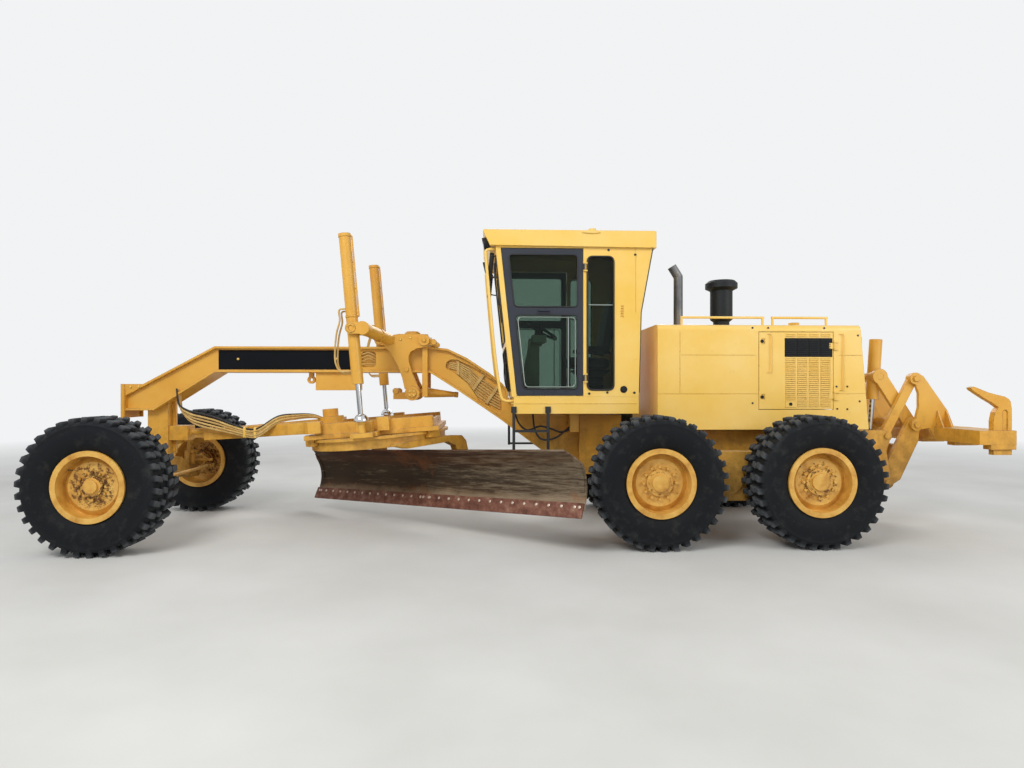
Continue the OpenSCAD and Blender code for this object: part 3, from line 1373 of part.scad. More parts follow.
rear_frame();
tandem_cases();
engine_block();
engine_hood();
exhaust_stack();
precleaner();
engine_door(1);  // engine_door_left
engine_door(-1);  // engine_door_right
wheel_at(wheelbase, 1) rim(105, spindle_front);  // rim_front_left
wheel_at(wheelbase, -1) rim(105, spindle_front);  // rim_front_right
wheel_at(mid_x, 1) rim(135, spindle_rear);  // rim_mid_left
wheel_at(mid_x, -1) rim(135, spindle_rear);  // rim_mid_right
wheel_at(rear_x, 1) rim(135, spindle_rear);  // rim_rear_left
wheel_at(rear_x, -1) rim(135, spindle_rear);  // rim_rear_right
wheel_at(wheelbase, 1) tyre();  // tyre_front_left
wheel_at(wheelbase, -1) tyre();  // tyre_front_right
wheel_at(mid_x, 1) tyre();  // tyre_mid_left
wheel_at(mid_x, -1) tyre();  // tyre_mid_right
wheel_at(rear_x, 1) tyre();  // tyre_rear_left
wheel_at(rear_x, -1) tyre();  // tyre_rear_right
ripper_lower_link();
ripper_upper_link();
ripper_beam();
ripper_shank();
ripper_barrels();
ripper_rods();
gooseneck();
axle_hanger();
hitch_box();
grab_bars();
cab_base();
cab_shell();
cab_roof();
cab_glass();
seat();
console();
ladders();
lift_saddle();
front_axle();
hoses();
cab_door(1);  // cab_door_left
cab_door(-1);  // cab_door_right
door_glass(1);  // door_glass_left
door_glass(-1);  // door_glass_right
lift_barrel(1);  // lift_barrel_left
lift_barrel(-1);  // lift_barrel_right
lift_rod(1);  // lift_rod_left
lift_rod(-1);  // lift_rod_right
drawbar();
circle_ring();  // circle
blade_bracket();
moldboard();
cutting_edge();
lean_bracket(1);  // lean_bracket_left
lean_bracket(-1);  // lean_bracket_right
lean_bar();
knuckle(1);  // knuckle_left
knuckle(-1);  // knuckle_right
tie_rod();
tie_yoke();
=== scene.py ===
# %% [markdown]
# # A motor grader, dressed from its CAD frame
# The machine arrives as exact solids, one for each part that a workshop would make. This lesson gives them
# their paint, rust, rubber and glass, and adds the small things that a drawing leaves out, such as bolts,
# window seals, hoses and cushions. Each step first says what the real thing is and how it could be made.

# %% Load the machine and keep its size
import math
from math import cos, pi, radians, sin

import bmesh
import bpy
from mathutils import Matrix, Vector


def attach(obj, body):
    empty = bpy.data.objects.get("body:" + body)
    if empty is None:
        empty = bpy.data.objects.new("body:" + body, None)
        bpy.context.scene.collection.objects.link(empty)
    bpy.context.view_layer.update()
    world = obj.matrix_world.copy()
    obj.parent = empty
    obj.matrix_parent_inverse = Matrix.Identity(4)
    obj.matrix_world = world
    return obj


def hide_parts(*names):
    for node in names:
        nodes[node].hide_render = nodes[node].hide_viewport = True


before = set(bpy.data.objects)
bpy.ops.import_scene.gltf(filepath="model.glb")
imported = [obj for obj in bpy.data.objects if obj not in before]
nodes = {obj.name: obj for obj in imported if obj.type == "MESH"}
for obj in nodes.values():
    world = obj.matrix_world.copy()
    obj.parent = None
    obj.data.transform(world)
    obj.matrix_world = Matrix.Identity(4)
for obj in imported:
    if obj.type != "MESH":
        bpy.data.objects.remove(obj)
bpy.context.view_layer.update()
scene = bpy.context.scene

# %% [markdown]
# Many steps need the same few places: the two sides, the wheels' axles, and the frame of the blade, which
# hangs from the drawbar's ball, at the drawbar's pitch, a reach behind it, turned on the circle.

# %% Places that the steps share
SIDES = (("left", 1), ("right", -1))
WHEELS = {"front": 6.45, "mid": 0.8275, "rear": -0.8275}
WHEEL_Y, WHEEL_Z = 1.15, 0.685
BALL, PITCH, REACH, TURN = Vector((6.1, 0, 1.13)), radians(4.5), Vector((2.22, 0, 0)), radians(50)
print("wheels at X", list(WHEELS.values()))

# %% [markdown]
# The camera stands about six metres from the left flank, at eye height, with a wide lens. Its place was
# worked out from the tyres: they are all the same size, so their heights in the picture give the distance
# of each, and the front one being lower and larger gives the slight turn of the view.

# %% Camera
cam_data = bpy.data.cameras.new("camera")
camera = bpy.data.objects.new("camera", cam_data)
scene.collection.objects.link(camera)
scene.camera = camera
PHOTO_WIDTH, FOCAL_PX, UP_PX = 1024, 620, 5
cam_data.sensor_width = 36
cam_data.lens = 36 * FOCAL_PX / PHOTO_WIDTH
cam_data.shift_y = UP_PX / PHOTO_WIDTH
cam_data.clip_end = 200
aside = 0.040
camera.matrix_world = (Matrix.Translation((2.58, 7.50, 1.64)) @ Matrix.Rotation(pi - aside, 4, "Z")
                       @ Matrix.Rotation(pi / 2, 4, "X"))
view_dir = camera.matrix_world.to_quaternion() @ Vector((0, 0, -1))
print("camera looks along", [round(v, 3) for v in view_dir])

# %% [markdown]
# ## Finishes
# Every finish below is built from nodes, so that it has no picture files and no seams. Four helpers carry
# them: one turns the hex colour of a paint chart into the linear numbers that a shader wants, one adds a
# node with its settings and its links, one starts a material, and one ends it with a shader over a relief.

# %% Helpers for materials
def linear(hex_code):
    """An sRGB hex colour as a linear RGBA tuple."""
    parts = [int(hex_code[i:i + 2], 16) / 255 for i in (1, 3, 5)]
    return tuple(c / 12.92 if c <= 0.04045 else ((c + 0.055) / 1.055) ** 2.4 for c in parts) + (1.0,)


def add(tree, kind, settings=None, links=None):
    """A node with its settings, by attribute or socket, and its links, each from a node or (node, output)."""
    node = tree.nodes.new("ShaderNode" + kind)
    for key, value in (settings or {}).items():
        if key == "stops":
            band = node.color_ramp
            while len(band.elements) < len(value):
                band.elements.new(0.5)
            for element, (place, colour) in zip(band.elements, value):
                element.position = place
                element.color = linear(colour)
        elif isinstance(key, str) and hasattr(node, key) and key not in node.inputs:
            setattr(node, key, value)
        else:
            node.inputs[key].default_value = value
    for key, source in (links or {}).items():
        maker, output = source if isinstance(source, tuple) else (source, 0)
        tree.links.new(maker.outputs[output], node.inputs[key])
    return node


def new_material(name):
    """A material with an empty node tree, and the Object coordinates that its patterns are drawn on."""
    mat = bpy.data.materials.new(name)
    mat.use_nodes = True
    tree = mat.node_tree
    tree.nodes.clear()
    return mat, tree, (add(tree, "TexCoord"), "Object")


def surfaced(mat, tree, settings, links, strength, depth, relief):
    """The material with its shader over a relief, whose depth is in metres."""
    bump = add(tree, "Bump", {"Strength": strength, "Distance": depth}, relief)
    shader = add(tree, "BsdfPrincipled", {"IOR": 1.5} | settings, links | {"Normal": bump})
    add(tree, "OutputMaterial", links={"Surface": shader})
    return mat


# %% [markdown]
# The machine's paint is an alkyd enamel, sprayed over steel that is welded, cut and bent. Sun has bleached
# it and dust lies on what faces up. Grease and soil darken the low parts, and the edges are rubbed to
# bare, rusty steel. Noise gives the bleaching, the normal's Z gives the dust, the height gives the
# soil, and a Bevel node compared with the true normal finds the edges.

# %% Worn enamel
def worn_enamel(name, colour, faded, soil, wear, soil_height, rough=0.42, soil_amount=0.8):
    mat, tree, here = new_material(name)
    # Bleached patches are about 0.6 m wide, and a fine orange peel is 6 mm
    patches = add(tree, "TexNoise", {"Scale": 1.7, "Detail": 5.0, "Roughness": 0.6}, {"Vector": here})
    base = add(tree, "ValToRGB", {"stops": [(0.30, colour), (0.72, faded)]}, {"Fac": patches})
    split = add(tree, "SeparateXYZ", links={"Vector": here})
    # Runs of dirty water are narrow across and long down the panel
    squeeze = add(tree, "Mapping", {"Scale": (9.0, 9.0, 0.9)}, {"Vector": here})
    runs = add(tree, "TexNoise", {"Scale": 1.0, "Detail": 6.0, "Roughness": 0.7}, {"Vector": squeeze})
    low = add(tree, "MapRange", {"From Min": soil_height, "From Max": soil_height - 1.1, "To Max": 0.55},
              {"Value": (split, "Z")})
    blotch = add(tree, "TexNoise", {"Scale": 7.0, "Detail": 8.0, "Roughness": 0.72}, {"Vector": here})
    both = add(tree, "Math", {"operation": "ADD"}, {0: low, 1: blotch})
    run_bit = add(tree, "Math", {"operation": "MULTIPLY_ADD", 1: 0.35}, {0: runs, 2: both})
    soil_mask = add(tree, "MapRange", {"From Min": 0.80, "From Max": 1.30, "To Max": soil_amount},
                    {"Value": run_bit})
    soiled = add(tree, "Mix", {"data_type": "RGBA", 7: linear(soil)}, {0: soil_mask, 6: base})
    # Dust on what faces up
    geo = add(tree, "NewGeometry")
    up = add(tree, "SeparateXYZ", links={"Vector": (geo, "Normal")})
    dust = add(tree, "MapRange", {"From Min": 0.55, "To Max": 0.38}, {"Value": (up, "Z")})
    dusty = add(tree, "Mix", {"data_type": "RGBA", 7: linear("#c9b48a")}, {0: dust, 6: (soiled, 2)})
    # Edges rubbed bare, 8 mm wide, broken up by the blotches
    soft = add(tree, "Bevel", {"samples": 4, "Radius": 0.008})
    flat = add(tree, "VectorMath", {"operation": "DOT_PRODUCT"}, {0: soft, 1: (geo, "Normal")})
    edge = add(tree, "MapRange", {"From Min": 0.985, "From Max": 0.90}, {"Value": (flat, "Value")})
    chips = add(tree, "TexNoise", {"Scale": 26.0, "Detail": 7.0, "Roughness": 0.75}, {"Vector": here})
    rarest = 0.70 - 0.16 * wear
    chip_mask = add(tree, "MapRange", {"From Min": rarest - 0.10, "From Max": rarest}, {"Value": chips})
    bare = add(tree, "Math", {"operation": "MULTIPLY"}, {0: edge, 1: chip_mask})
    rust = add(tree, "ValToRGB", {"stops": [(0.45, "#3b2a20"), (0.60, "#6d4a31"), (0.75, "#8a6a4c")]},
               {"Fac": chips})
    final = add(tree, "Mix", {"data_type": "RGBA"}, {0: bare, 6: (dusty, 2), 7: rust})
    rough_map = add(tree, "MapRange", {"To Min": rough, "To Max": 0.85}, {"Value": soil_mask})
    peel = add(tree, "TexNoise", {"Scale": 160.0, "Detail": 2.0}, {"Vector": here})
    dents = add(tree, "Math", {"operation": "MULTIPLY_ADD", 1: 0.25}, {0: peel, 2: patches})
    return surfaced(mat, tree, {"Coat Weight": 0.06}, {"Base Color": (final, 2), "Roughness": rough_map},
                    0.12, 0.012, {"Height": dents, "Normal": soft})


# The frame's copy of the yellow is darker and warmer than the panels', standing for the warm shade on the
# drawbar, ripper and nose: that is painted shade, laid under its real wear, dust and soil
frame_paint_with_painted_shade = worn_enamel("worn_yellow_enamel_on_frame_with_painted_shade", "#d4962a", "#e2ae48", "#6e4a1e", 0.9, 1.55)
panel_paint = worn_enamel("bleached_yellow_enamel_on_panels", "#efc050", "#f5cf78", "#8e6a34", 0.3, 1.2,
                          rough=0.36, soil_amount=0.5)
print("paints:", frame_paint_with_painted_shade.name, panel_paint.name)

# %% [markdown]
# The rims were painted once and have rusted where stones hit them: the dished disc is more rust than
# paint, the rim's lip keeps its paint, and the hub's cap was painted again. The distance from each wheel's
# own axle says which is which, so the rust is centred on the axle with a Mapping node.

# %% Rusty rims
def from_axle(tree, here, axle_x):
    """How far a point is from a wheel's axle, which lies along Y at this X."""
    centred = add(tree, "Mapping", {"Location": (-axle_x, 0, -WHEEL_Z)}, {"Vector": here})
    flat = add(tree, "VectorMath", {"operation": "MULTIPLY", 1: (1, 0, 1)}, {0: centred})
    return add(tree, "VectorMath", {"operation": "LENGTH"}, {0: flat}), "Value"


def rusty_rim(name, axle_x, hub_r, spared):
    """Rim enamel with rust on the disc, drawn round an axle along Y at this X."""
    mat, tree, here = new_material(name)
    radius = from_axle(tree, here, axle_x)
    # How much rust there is at each radius: none on the cap, most on the disc, little on the lip
    greys = [(hub_r, "#000000"), (hub_r + 0.012, "#a0a0a0"), (0.215, "#949494"), (0.262, "#6c6c6c"),
             (0.31, "#585858"), (0.345, "#7c7c7c")]
    share = add(tree, "ValToRGB", {"stops": greys}, {"Fac": radius})
    blots = add(tree, "TexNoise", {"Scale": 26.0, "Detail": 9.0, "Roughness": 0.78}, {"Vector": here})
    sum_up = add(tree, "Math", {"operation": "ADD"}, {0: share, 1: blots})
    mask = add(tree, "MapRange", {"From Min": 0.79 + spared, "From Max": 0.87 + spared, "To Max": 0.95},
               {"Value": sum_up})
    tone = add(tree, "TexNoise", {"Scale": 6.0, "Detail": 6.0, "Roughness": 0.65}, {"Vector": here})
    paint = add(tree, "ValToRGB", {"stops": [(0.30, "#b27a2a"), (0.50, "#d3a047"), (0.72, "#e4b860")]},
                {"Fac": tone})
    rust = add(tree, "ValToRGB", {"stops": [(0.36, "#21100a"), (0.52, "#43230f"), (0.68, "#7a4a20")]},
               {"Fac": blots})
    colour = add(tree, "Mix", {"data_type": "RGBA"}, {0: mask, 6: paint, 7: rust})
    rough_map = add(tree, "MapRange", {"To Min": 0.46, "To Max": 0.88}, {"Value": mask})
    pits = add(tree, "TexNoise", {"Scale": 90.0, "Detail": 6.0}, {"Vector": here})
    height = add(tree, "Math", {"operation": "MULTIPLY_ADD"}, {0: pits, 1: mask, 2: mask})
    return surfaced(mat, tree, {}, {"Base Color": (colour, 2), "Roughness": rough_map},
                    0.35, 0.003, {"Height": height})


rims = {"front": rusty_rim("rusty_rim_enamel_front", WHEELS["front"], 0.075, 0.0),
        "mid": rusty_rim("rusty_rim_enamel_middle", WHEELS["mid"], 0.090, 0.08),
        "rear": rusty_rim("rusty_rim_enamel_rear", WHEELS["rear"], 0.090, 0.05)}
print("rims:", [m.name for m in rims.values()])

# %% [markdown]
# Tyres are natural rubber with carbon black. The sidewall stays an even, bluish black, and the bars are
# scuffed grey and hold dry soil, so the colour follows the distance from the axle, roughened by noise.

# %% Tyre rubber by its distance from the axle
def scuffed_tyre(name, axle_x):
    mat, tree, here = new_material(name)
    radius = from_axle(tree, here, axle_x)
    noise = add(tree, "TexNoise", {"Scale": 9.0, "Detail": 8.0, "Roughness": 0.66}, {"Vector": here})
    ragged = add(tree, "Math", {"operation": "MULTIPLY_ADD", 1: 0.05}, {0: noise, 2: radius})
    blacks = [(0.345, "#08090b"), (0.42, "#0d0f12"), (0.54, "#0b0e13"), (0.625, "#101317"), (0.672, "#1d2023"),
              (0.712, "#4a4d50")]
    tone = add(tree, "ValToRGB", {"stops": blacks}, {"Fac": ragged})
    dust = add(tree, "MapRange", {"From Min": 0.52, "From Max": 0.80, "To Max": 0.16}, {"Value": noise})
    dusty = add(tree, "Mix", {"data_type": "RGBA", 7: linear("#6f6b62")}, {0: dust, 6: tone})
    fine = add(tree, "TexNoise", {"Scale": 140.0, "Detail": 3.0}, {"Vector": here})
    return surfaced(mat, tree, {"IOR": 1.52, "Roughness": 0.72, "Specular IOR Level": 0.2},
                    {"Base Color": (dusty, 2)}, 0.18, 0.004, {"Height": fine})


tyres = {place: scuffed_tyre(f"scuffed_tyre_rubber_{word}", WHEELS[place])
         for place, word in (("front", "front"), ("mid", "middle"), ("rear", "rear"))}
print("tyres:", [m.name for m in tyres.values()])

# %% [markdown]
# Window seals and hoses are synthetic rubber. Seals stay nearly black, and the hoses on this machine were
# painted over with the frame, so most of them are a dusty yellow.

# %% Rubber of seals and hoses
def dusty_rubber(name, colour, dust_colour, amount=0.6, scale=9.0, rough=0.82):
    mat, tree, here = new_material(name)
    noise = add(tree, "TexNoise", {"Scale": scale, "Detail": 8.0, "Roughness": 0.68}, {"Vector": here})
    mask = add(tree, "MapRange", {"From Min": 0.42, "From Max": 0.74, "To Max": amount}, {"Value": noise})
    tone = add(tree, "Mix", {"data_type": "RGBA", 6: linear(colour), 7: linear(dust_colour)}, {0: mask})
    fine = add(tree, "TexNoise", {"Scale": 140.0, "Detail": 3.0}, {"Vector": here})
    return surfaced(mat, tree, {"IOR": 1.52, "Roughness": rough}, {"Base Color": (tone, 2)},
                    0.18, 0.004, {"Height": fine})


seal_rubber = dusty_rubber("window_seal_rubber", "#121314", "#2c2b29", 0.5, 30.0, 0.6)
hose_rubber = dusty_rubber("yellow_dusted_hydraulic_hose", "#c09a55", "#dcbb78", 0.95, 14.0, 0.7)
black_hose = dusty_rubber("black_hydraulic_hose", "#141415", "#3a362f", 0.7, 18.0, 0.62)

# %% [markdown]
# The cutting edge, the exhaust stack, the bolts and the engine are bare metal, each with its own three tones
# from dark to light. A stretch draws the noise out, along the edge or up the stack.

# %% Bare steels
def bare_steel(name, dark, mid, light, scale, metallic, rough, stretch=(1, 1, 1)):
    mat, tree, here = new_material(name)
    mapped = add(tree, "Mapping", {"Scale": stretch, "Rotation": (0, 0, -TURN)}, {"Vector": here})
    noise = add(tree, "TexNoise", {"Scale": scale, "Detail": 9.0, "Roughness": 0.7}, {"Vector": mapped})
    tone = add(tree, "ValToRGB", {"stops": [(0.32, dark), (0.52, mid), (0.72, light)]}, {"Fac": noise})
    rough_map = add(tree, "MapRange", {"From Min": 0.3, "From Max": 0.7, "To Min": rough + 0.2,
                                       "To Max": rough - 0.12}, {"Value": noise})
    fine = add(tree, "TexNoise", {"Scale": 60.0, "Detail": 6.0}, {"Vector": mapped})
    return surfaced(mat, tree, {"Metallic": metallic}, {"Base Color": tone, "Roughness": rough_map},
                    0.25, 0.004, {"Height": fine})


edge_steel = bare_steel("worn_steel_of_cutting_edge", "#4b2a1e", "#764a39", "#96725f", 6.0, 0.35, 0.55,
                        (2.0, 0.6, 2.0))
stack_steel = bare_steel("heat_stained_stack_steel", "#4c4d4f", "#77797b", "#9a8f80", 6.0, 0.6, 0.5,
                         (1, 1, 0.4))
bolt_steel = bare_steel("oiled_bolt_steel", "#3a342c", "#6d6152", "#938778", 30.0, 0.6, 0.45)
engine_iron = bare_steel("oily_cast_iron", "#1f1e1b", "#3b3832", "#575146", 7.0, 0.2, 0.6)

# %% [markdown]
# The blade is rolled steel, scratched along its length by the soil that it moves. It is turned on the
# circle, so its streaks need its own axes. One Mapping node undoes the pitch of the drawbar, and a second
# undoes the turn of the blade. In that frame Z runs up the blade, which tells the worn, pale strip over
# the cutting edge from the dark middle and the rusty top.

# %% Rolled steel of the blade
def blade_finish(name):
    mat, tree, here = new_material(name)
    from_ball = Matrix.Rotation(-PITCH, 3, "Y") @ -BALL + REACH
    level = add(tree, "Mapping", {"Rotation": (0, -PITCH, 0), "Location": from_ball}, {"Vector": here})
    own = add(tree, "Mapping", {"Rotation": (0, 0, -TURN)}, {"Vector": level})
    split = add(tree, "SeparateXYZ", links={"Vector": own})
    # Clouds are half a metre wide; scratches are drawn out along the blade and a few millimetres high
    clouds = add(tree, "TexNoise", {"Scale": 2.6, "Detail": 7.0, "Roughness": 0.66}, {"Vector": own})
    longways = add(tree, "Mapping", {"Scale": (6.0, 0.8, 11.0)}, {"Vector": own})
    scratches = add(tree, "TexNoise", {"Scale": 3.0, "Detail": 9.0, "Roughness": 0.78}, {"Vector": longways})
    height = add(tree, "MapRange", {"From Min": -0.95, "From Max": -0.42, "To Min": -0.17, "To Max": 0.83},
                 {"Value": (split, "Z")})
    ragged = add(tree, "Math", {"operation": "MULTIPLY_ADD", 1: 0.34}, {0: clouds, 2: height})
    browns = [(0.00, "#8d7860"), (0.07, "#705b43"), (0.15, "#3d2a16"), (0.36, "#322414"), (0.52, "#382b1a"),
              (0.66, "#372412"), (0.80, "#4d3119"), (0.93, "#432715")]
    tone = add(tree, "ValToRGB", {"stops": browns}, {"Fac": ragged})
    # The end that is cast out to the side has moved the most soil, and is scratched the brightest
    toward_end = add(tree, "MapRange", {"From Min": 0.2, "From Max": 2.4, "To Max": 0.16},
                     {"Value": (split, "Y")})
    scratched = add(tree, "Math", {"operation": "ADD"}, {0: scratches, 1: toward_end})
    worn = add(tree, "MapRange", {"From Min": 0.54, "From Max": 0.78, "To Max": 0.75}, {"Value": scratched})
    streaked = add(tree, "Mix", {"data_type": "RGBA", 7: linear("#94836b")}, {0: worn, 6: tone})
    spots = add(tree, "TexNoise", {"Scale": 1.5, "Detail": 8.0, "Roughness": 0.7}, {"Vector": level})
    rusty = add(tree, "MapRange", {"From Min": 0.57, "From Max": 0.68, "To Max": 0.7}, {"Value": spots})
    final = add(tree, "Mix", {"data_type": "RGBA", 7: linear("#7e4a22")}, {0: rusty, 6: (streaked, 2)})
    rough_map = add(tree, "MapRange", {"From Max": 0.8, "To Min": 0.66, "To Max": 0.40}, {"Value": worn})
    return surfaced(mat, tree, {"Metallic": 0.2, "Specular IOR Level": 0.35},
                    {"Base Color": (final, 2), "Roughness": rough_map}, 0.3, 0.003, {"Height": scratches})


blade_steel = blade_finish("rusty_rolled_steel_of_blade")

# %% [markdown]
# The small parts have one colour each: chrome, enamel, moulded plastic, vinyl and polished steel. They
# differ in roughness, in how strongly the noise mottles them, and in the grain that a finger would feel.

# %% Plain finishes
def plain_finish(name, colour, rough, metallic=0.0, variation=0.12, scale=12.0, bump_scale=90.0,
                 bump_strength=0.08, coat=0.0, gloss=0.5):
    """A finish of one colour, with a little mottling and grain so that it isn't flat."""
    mat, tree, here = new_material(name)
    noise = add(tree, "TexNoise", {"Scale": scale, "Detail": 6.0, "Roughness": 0.65}, {"Vector": here})
    pale = [min(1.0, c * (1 + 2.2 * variation) + 0.02 * variation) for c in linear(colour)[:3]] + [1.0]
    tone = add(tree, "Mix", {"data_type": "RGBA", 6: linear(colour), 7: pale}, {0: noise})
    fine = add(tree, "TexNoise", {"Scale": bump_scale, "Detail": 3.0}, {"Vector": here})
    rough_map = add(tree, "MapRange", {"From Min": 0.3, "From Max": 0.7, "To Min": max(0.03, rough - 0.06),
                                       "To Max": rough + 0.08}, {"Value": noise})
    return surfaced(mat, tree, {"Metallic": metallic, "Coat Weight": coat, "Specular IOR Level": gloss},
                    {"Base Color": (tone, 2), "Roughness": rough_map}, bump_strength, 0.003, {"Height": fine})


rod_chrome = plain_finish("hard_chrome_of_rods", "#c9cbcd", 0.12, 1.0, 0.05, 8.0, 200.0, 0.02)
door_paint = plain_finish("dark_blue_enamel_of_doors", "#151a26", 0.32, 0.0, 0.3, 6.0, 120.0, 0.05, 0.2)
black_paint = plain_finish("black_enamel", "#17181a", 0.45, 0.0, 0.4, 9.0)
black_plastic = plain_finish("moulded_black_plastic", "#0e1114", 0.55, 0.0, 0.3, 14.0, 260.0, 0.15, 0.0, 0.3)
# The console's pale green is brighter than the plastic's own colour, to stand for light that hardly reaches
# into the cab: that is painted light
console_plastic_with_painted_light = plain_finish("pale_green_console_plastic_with_painted_light", "#b9c2a4", 0.5, 0.0, 0.15, 8.0, 220.0, 0.12)
# The steering wheel is part of the console's solid: above its hub the same plastic is black
tree = console_plastic_with_painted_light.node_tree
split = add(tree, "SeparateXYZ", links={"Vector": (tree.nodes["Texture Coordinate"], "Object")})
mask = add(tree, "MapRange", {"From Min": 2.258, "From Max": 2.264}, {"Value": (split, "Z")})
two_tone = add(tree, "Mix", {"data_type": "RGBA", 7: linear("#17181a")}, {0: mask, 6: (tree.nodes["Mix"], 2)})
tree.links.new(two_tone.outputs[2], tree.nodes["Principled BSDF"].inputs["Base Color"])
seat_vinyl = plain_finish("black_seat_vinyl", "#202124", 0.5, 0.0, 0.35, 20.0, 320.0, 0.3)
mesh_black = plain_finish("black_screen_wire", "#0b0c0d", 0.6, 0.0, 0.2, 30.0, 90.0, 0.08, 0.0, 0.2)

# %% [markdown]
# Cab windows are toughened glass with a faint green tint. A real thin pane lets light straight through,
# so the shader mixes a clear pass with a sharp reflection that grows at a glancing angle.

# %% Glass
def tinted_glass(name, tint, clear):
    mat, tree, here = new_material(name)
    see = add(tree, "BsdfTransparent", {"Color": linear(tint)})
    haze = add(tree, "TexNoise", {"Scale": 3.0, "Detail": 5.0}, {"Vector": here})
    rough_map = add(tree, "MapRange", {"From Min": 0.3, "From Max": 0.8, "To Min": 0.02, "To Max": 0.14},
                    {"Value": haze})
    shine = add(tree, "BsdfPrincipled", {"Base Color": linear("#26302d"), "IOR": 1.5,
                                         "Specular IOR Level": 0.6}, {"Roughness": rough_map})
    fresnel = add(tree, "Fresnel", {"IOR": 1.5})
    amount = add(tree, "MapRange", {"To Min": 1.0 - clear}, {"Value": fresnel})
    blend = add(tree, "MixShader", links={0: amount, 1: see, 2: shine})
    add(tree, "OutputMaterial", links={"Surface": blend})
    return mat


cab_pane = tinted_glass("tinted_cab_glass", "#cfdcd5", 0.86)
lamp_glass = tinted_glass("clear_lamp_lens", "#eef2f2", 0.35)
red_lens = plain_finish("moulded_red_lens", "#8e1512", 0.16, 0.0, 0.2, 40.0, 260.0, 0.2, 0.3)
pane_aluminium = plain_finish("dull_anodised_aluminium", "#9aa29b", 0.38, 0.75, 0.1, 30.0, 300.0, 0.06)
strip_vinyl = plain_finish("black_vinyl_strip", "#05080d", 0.5, 0.0, 0.25, 5.0, 60.0, 0.04, 0.0, 0.08)
polished_bolt = plain_finish("soil_polished_steel", "#b3a493", 0.4, 0.5, 0.2, 40.0, 200.0, 0.15)
print("materials:", len(bpy.data.materials))

# %% [markdown]
# Each CAD node takes the finish of its real part.

# %% Finishes on the CAD parts
FINISH = {
    frame_paint_with_painted_shade: ["rear_frame", "tandem_cases", "gooseneck", "lift_saddle", "front_axle", "drawbar", "circle",
                  "blade_bracket", "lift_barrel_left", "lift_barrel_right", "ripper_lower_link",
                  "ripper_upper_link", "ripper_beam", "ripper_shank", "ripper_barrels", "lean_bracket_left",
                  "lean_bracket_right", "lean_bar", "knuckle_left", "knuckle_right", "tie_rod", "tie_yoke",
                  "axle_hanger", "hitch_box"],
    panel_paint: ["cab_base", "cab_shell", "cab_roof", "engine_hood", "engine_door_left", "engine_door_right",
                  "grab_bars"],
    engine_iron: ["engine_block"],
    stack_steel: ["exhaust_stack"],
    black_plastic: ["precleaner"],
    rod_chrome: ["lift_rod_left", "lift_rod_right", "ripper_rods"],
    blade_steel: ["moldboard"],
    edge_steel: ["cutting_edge"],
    door_paint: ["cab_door_left", "cab_door_right"],
    cab_pane: ["cab_glass", "door_glass_left", "door_glass_right"],
    seat_vinyl: ["seat"],
    console_plastic_with_painted_light: ["console"],
    black_paint: ["ladders"],
    hose_rubber: ["hoses"],
}
for place in WHEELS:
    FINISH[rims[place]] = [f"rim_{place}_{side}" for side, s in SIDES]
    FINISH[tyres[place]] = [f"tyre_{place}_{side}" for side, s in SIDES]
for finish, names in FINISH.items():
    for name in names:
        for slot in nodes[name].material_slots:
            slot.material = finish
print("nodes without a finish:", [n for n in nodes if n not in sum(FINISH.values(), [])])

# %% [markdown]
# ## Helpers for modelling
# Every piece starts as a primitive and is shaped in edit mode. Selecting by code needs a test on each face,
# and finishing a piece is the same each time: bake its place into its mesh, then give it its name, its
# finish, and the body that carries it.

# %% Select, finish, copy
def clear():
    """Object mode, with nothing selected."""
    if bpy.context.object and bpy.context.object.mode != "OBJECT":
        bpy.ops.object.mode_set(mode="OBJECT")
    bpy.ops.object.select_all(action="DESELECT")


def pick(pieces):
    """Only these pieces selected, the first of them active."""
    clear()
    for piece in pieces:
        piece.select_set(True)
    bpy.context.view_layer.objects.active = pieces[0]


def edited():
    """The piece that was being edited, back in object mode."""
    bpy.ops.object.mode_set(mode="OBJECT")
    return bpy.context.object


def edit_faces(test):
    """Edit mode, with only the faces selected that pass the test."""
    if bpy.context.object.mode != "EDIT":
        bpy.ops.object.mode_set(mode="EDIT")
    bpy.ops.mesh.select_mode(type="FACE")
    bpy.ops.mesh.select_all(action="DESELECT")
    mesh = bmesh.from_edit_mesh(bpy.context.object.data)
    for face in mesh.faces:
        face.select_set(bool(test(face)))
    bmesh.update_edit_mesh(bpy.context.object.data)


def finish_piece(piece, name, finish, body, smooth=None):
    """The piece with its place baked in, named, finished and riding on its body."""
    pick([piece])
    bpy.ops.object.transform_apply()
    if smooth:
        bpy.ops.object.shade_smooth_by_angle(angle=radians(smooth))
    piece.name = piece.data.name = name
    piece.data.materials.clear()
    piece.data.materials.append(finish)
    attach(piece, body)
    return piece


def copies_at(model, places, name, finish, body, smooth=None, keep=False):
    """Copies of a model at the given matrices, each with its own mesh, joined as one piece.

    The model itself goes, unless a later piece needs it."""
    made = []
    for place in places:
        one = model.copy()
        one.data = model.data.copy()
        scene.collection.objects.link(one)
        one.matrix_world = place
        made.append(one)
    if not keep:
        bpy.data.objects.remove(model)
    pick(made)
    if len(made) > 1:
        bpy.ops.object.join()
    return finish_piece(made[0], name, finish, body, smooth)


def facing(place, normal):
    """The matrix that sets a model, made facing +Z at the origin, at a place and facing along a normal."""
    return Matrix.Translation(place) @ Vector(normal).to_track_quat("Z", "Y").to_matrix().to_4x4()


def pair_at(x, y, z):
    """The matrices that set a model at a place and at its mirror image on the other side."""
    return [Matrix.Translation((x, s * y, z)) for s in (1, -1)]


def on_flanks(spots, y):
    """The matrices that set a model at each (X, Z) on both flanks of the machine, facing outwards."""
    return [facing((x, s * y, z), (0, s, 0)) for x, z in spots for s in (1, -1)]


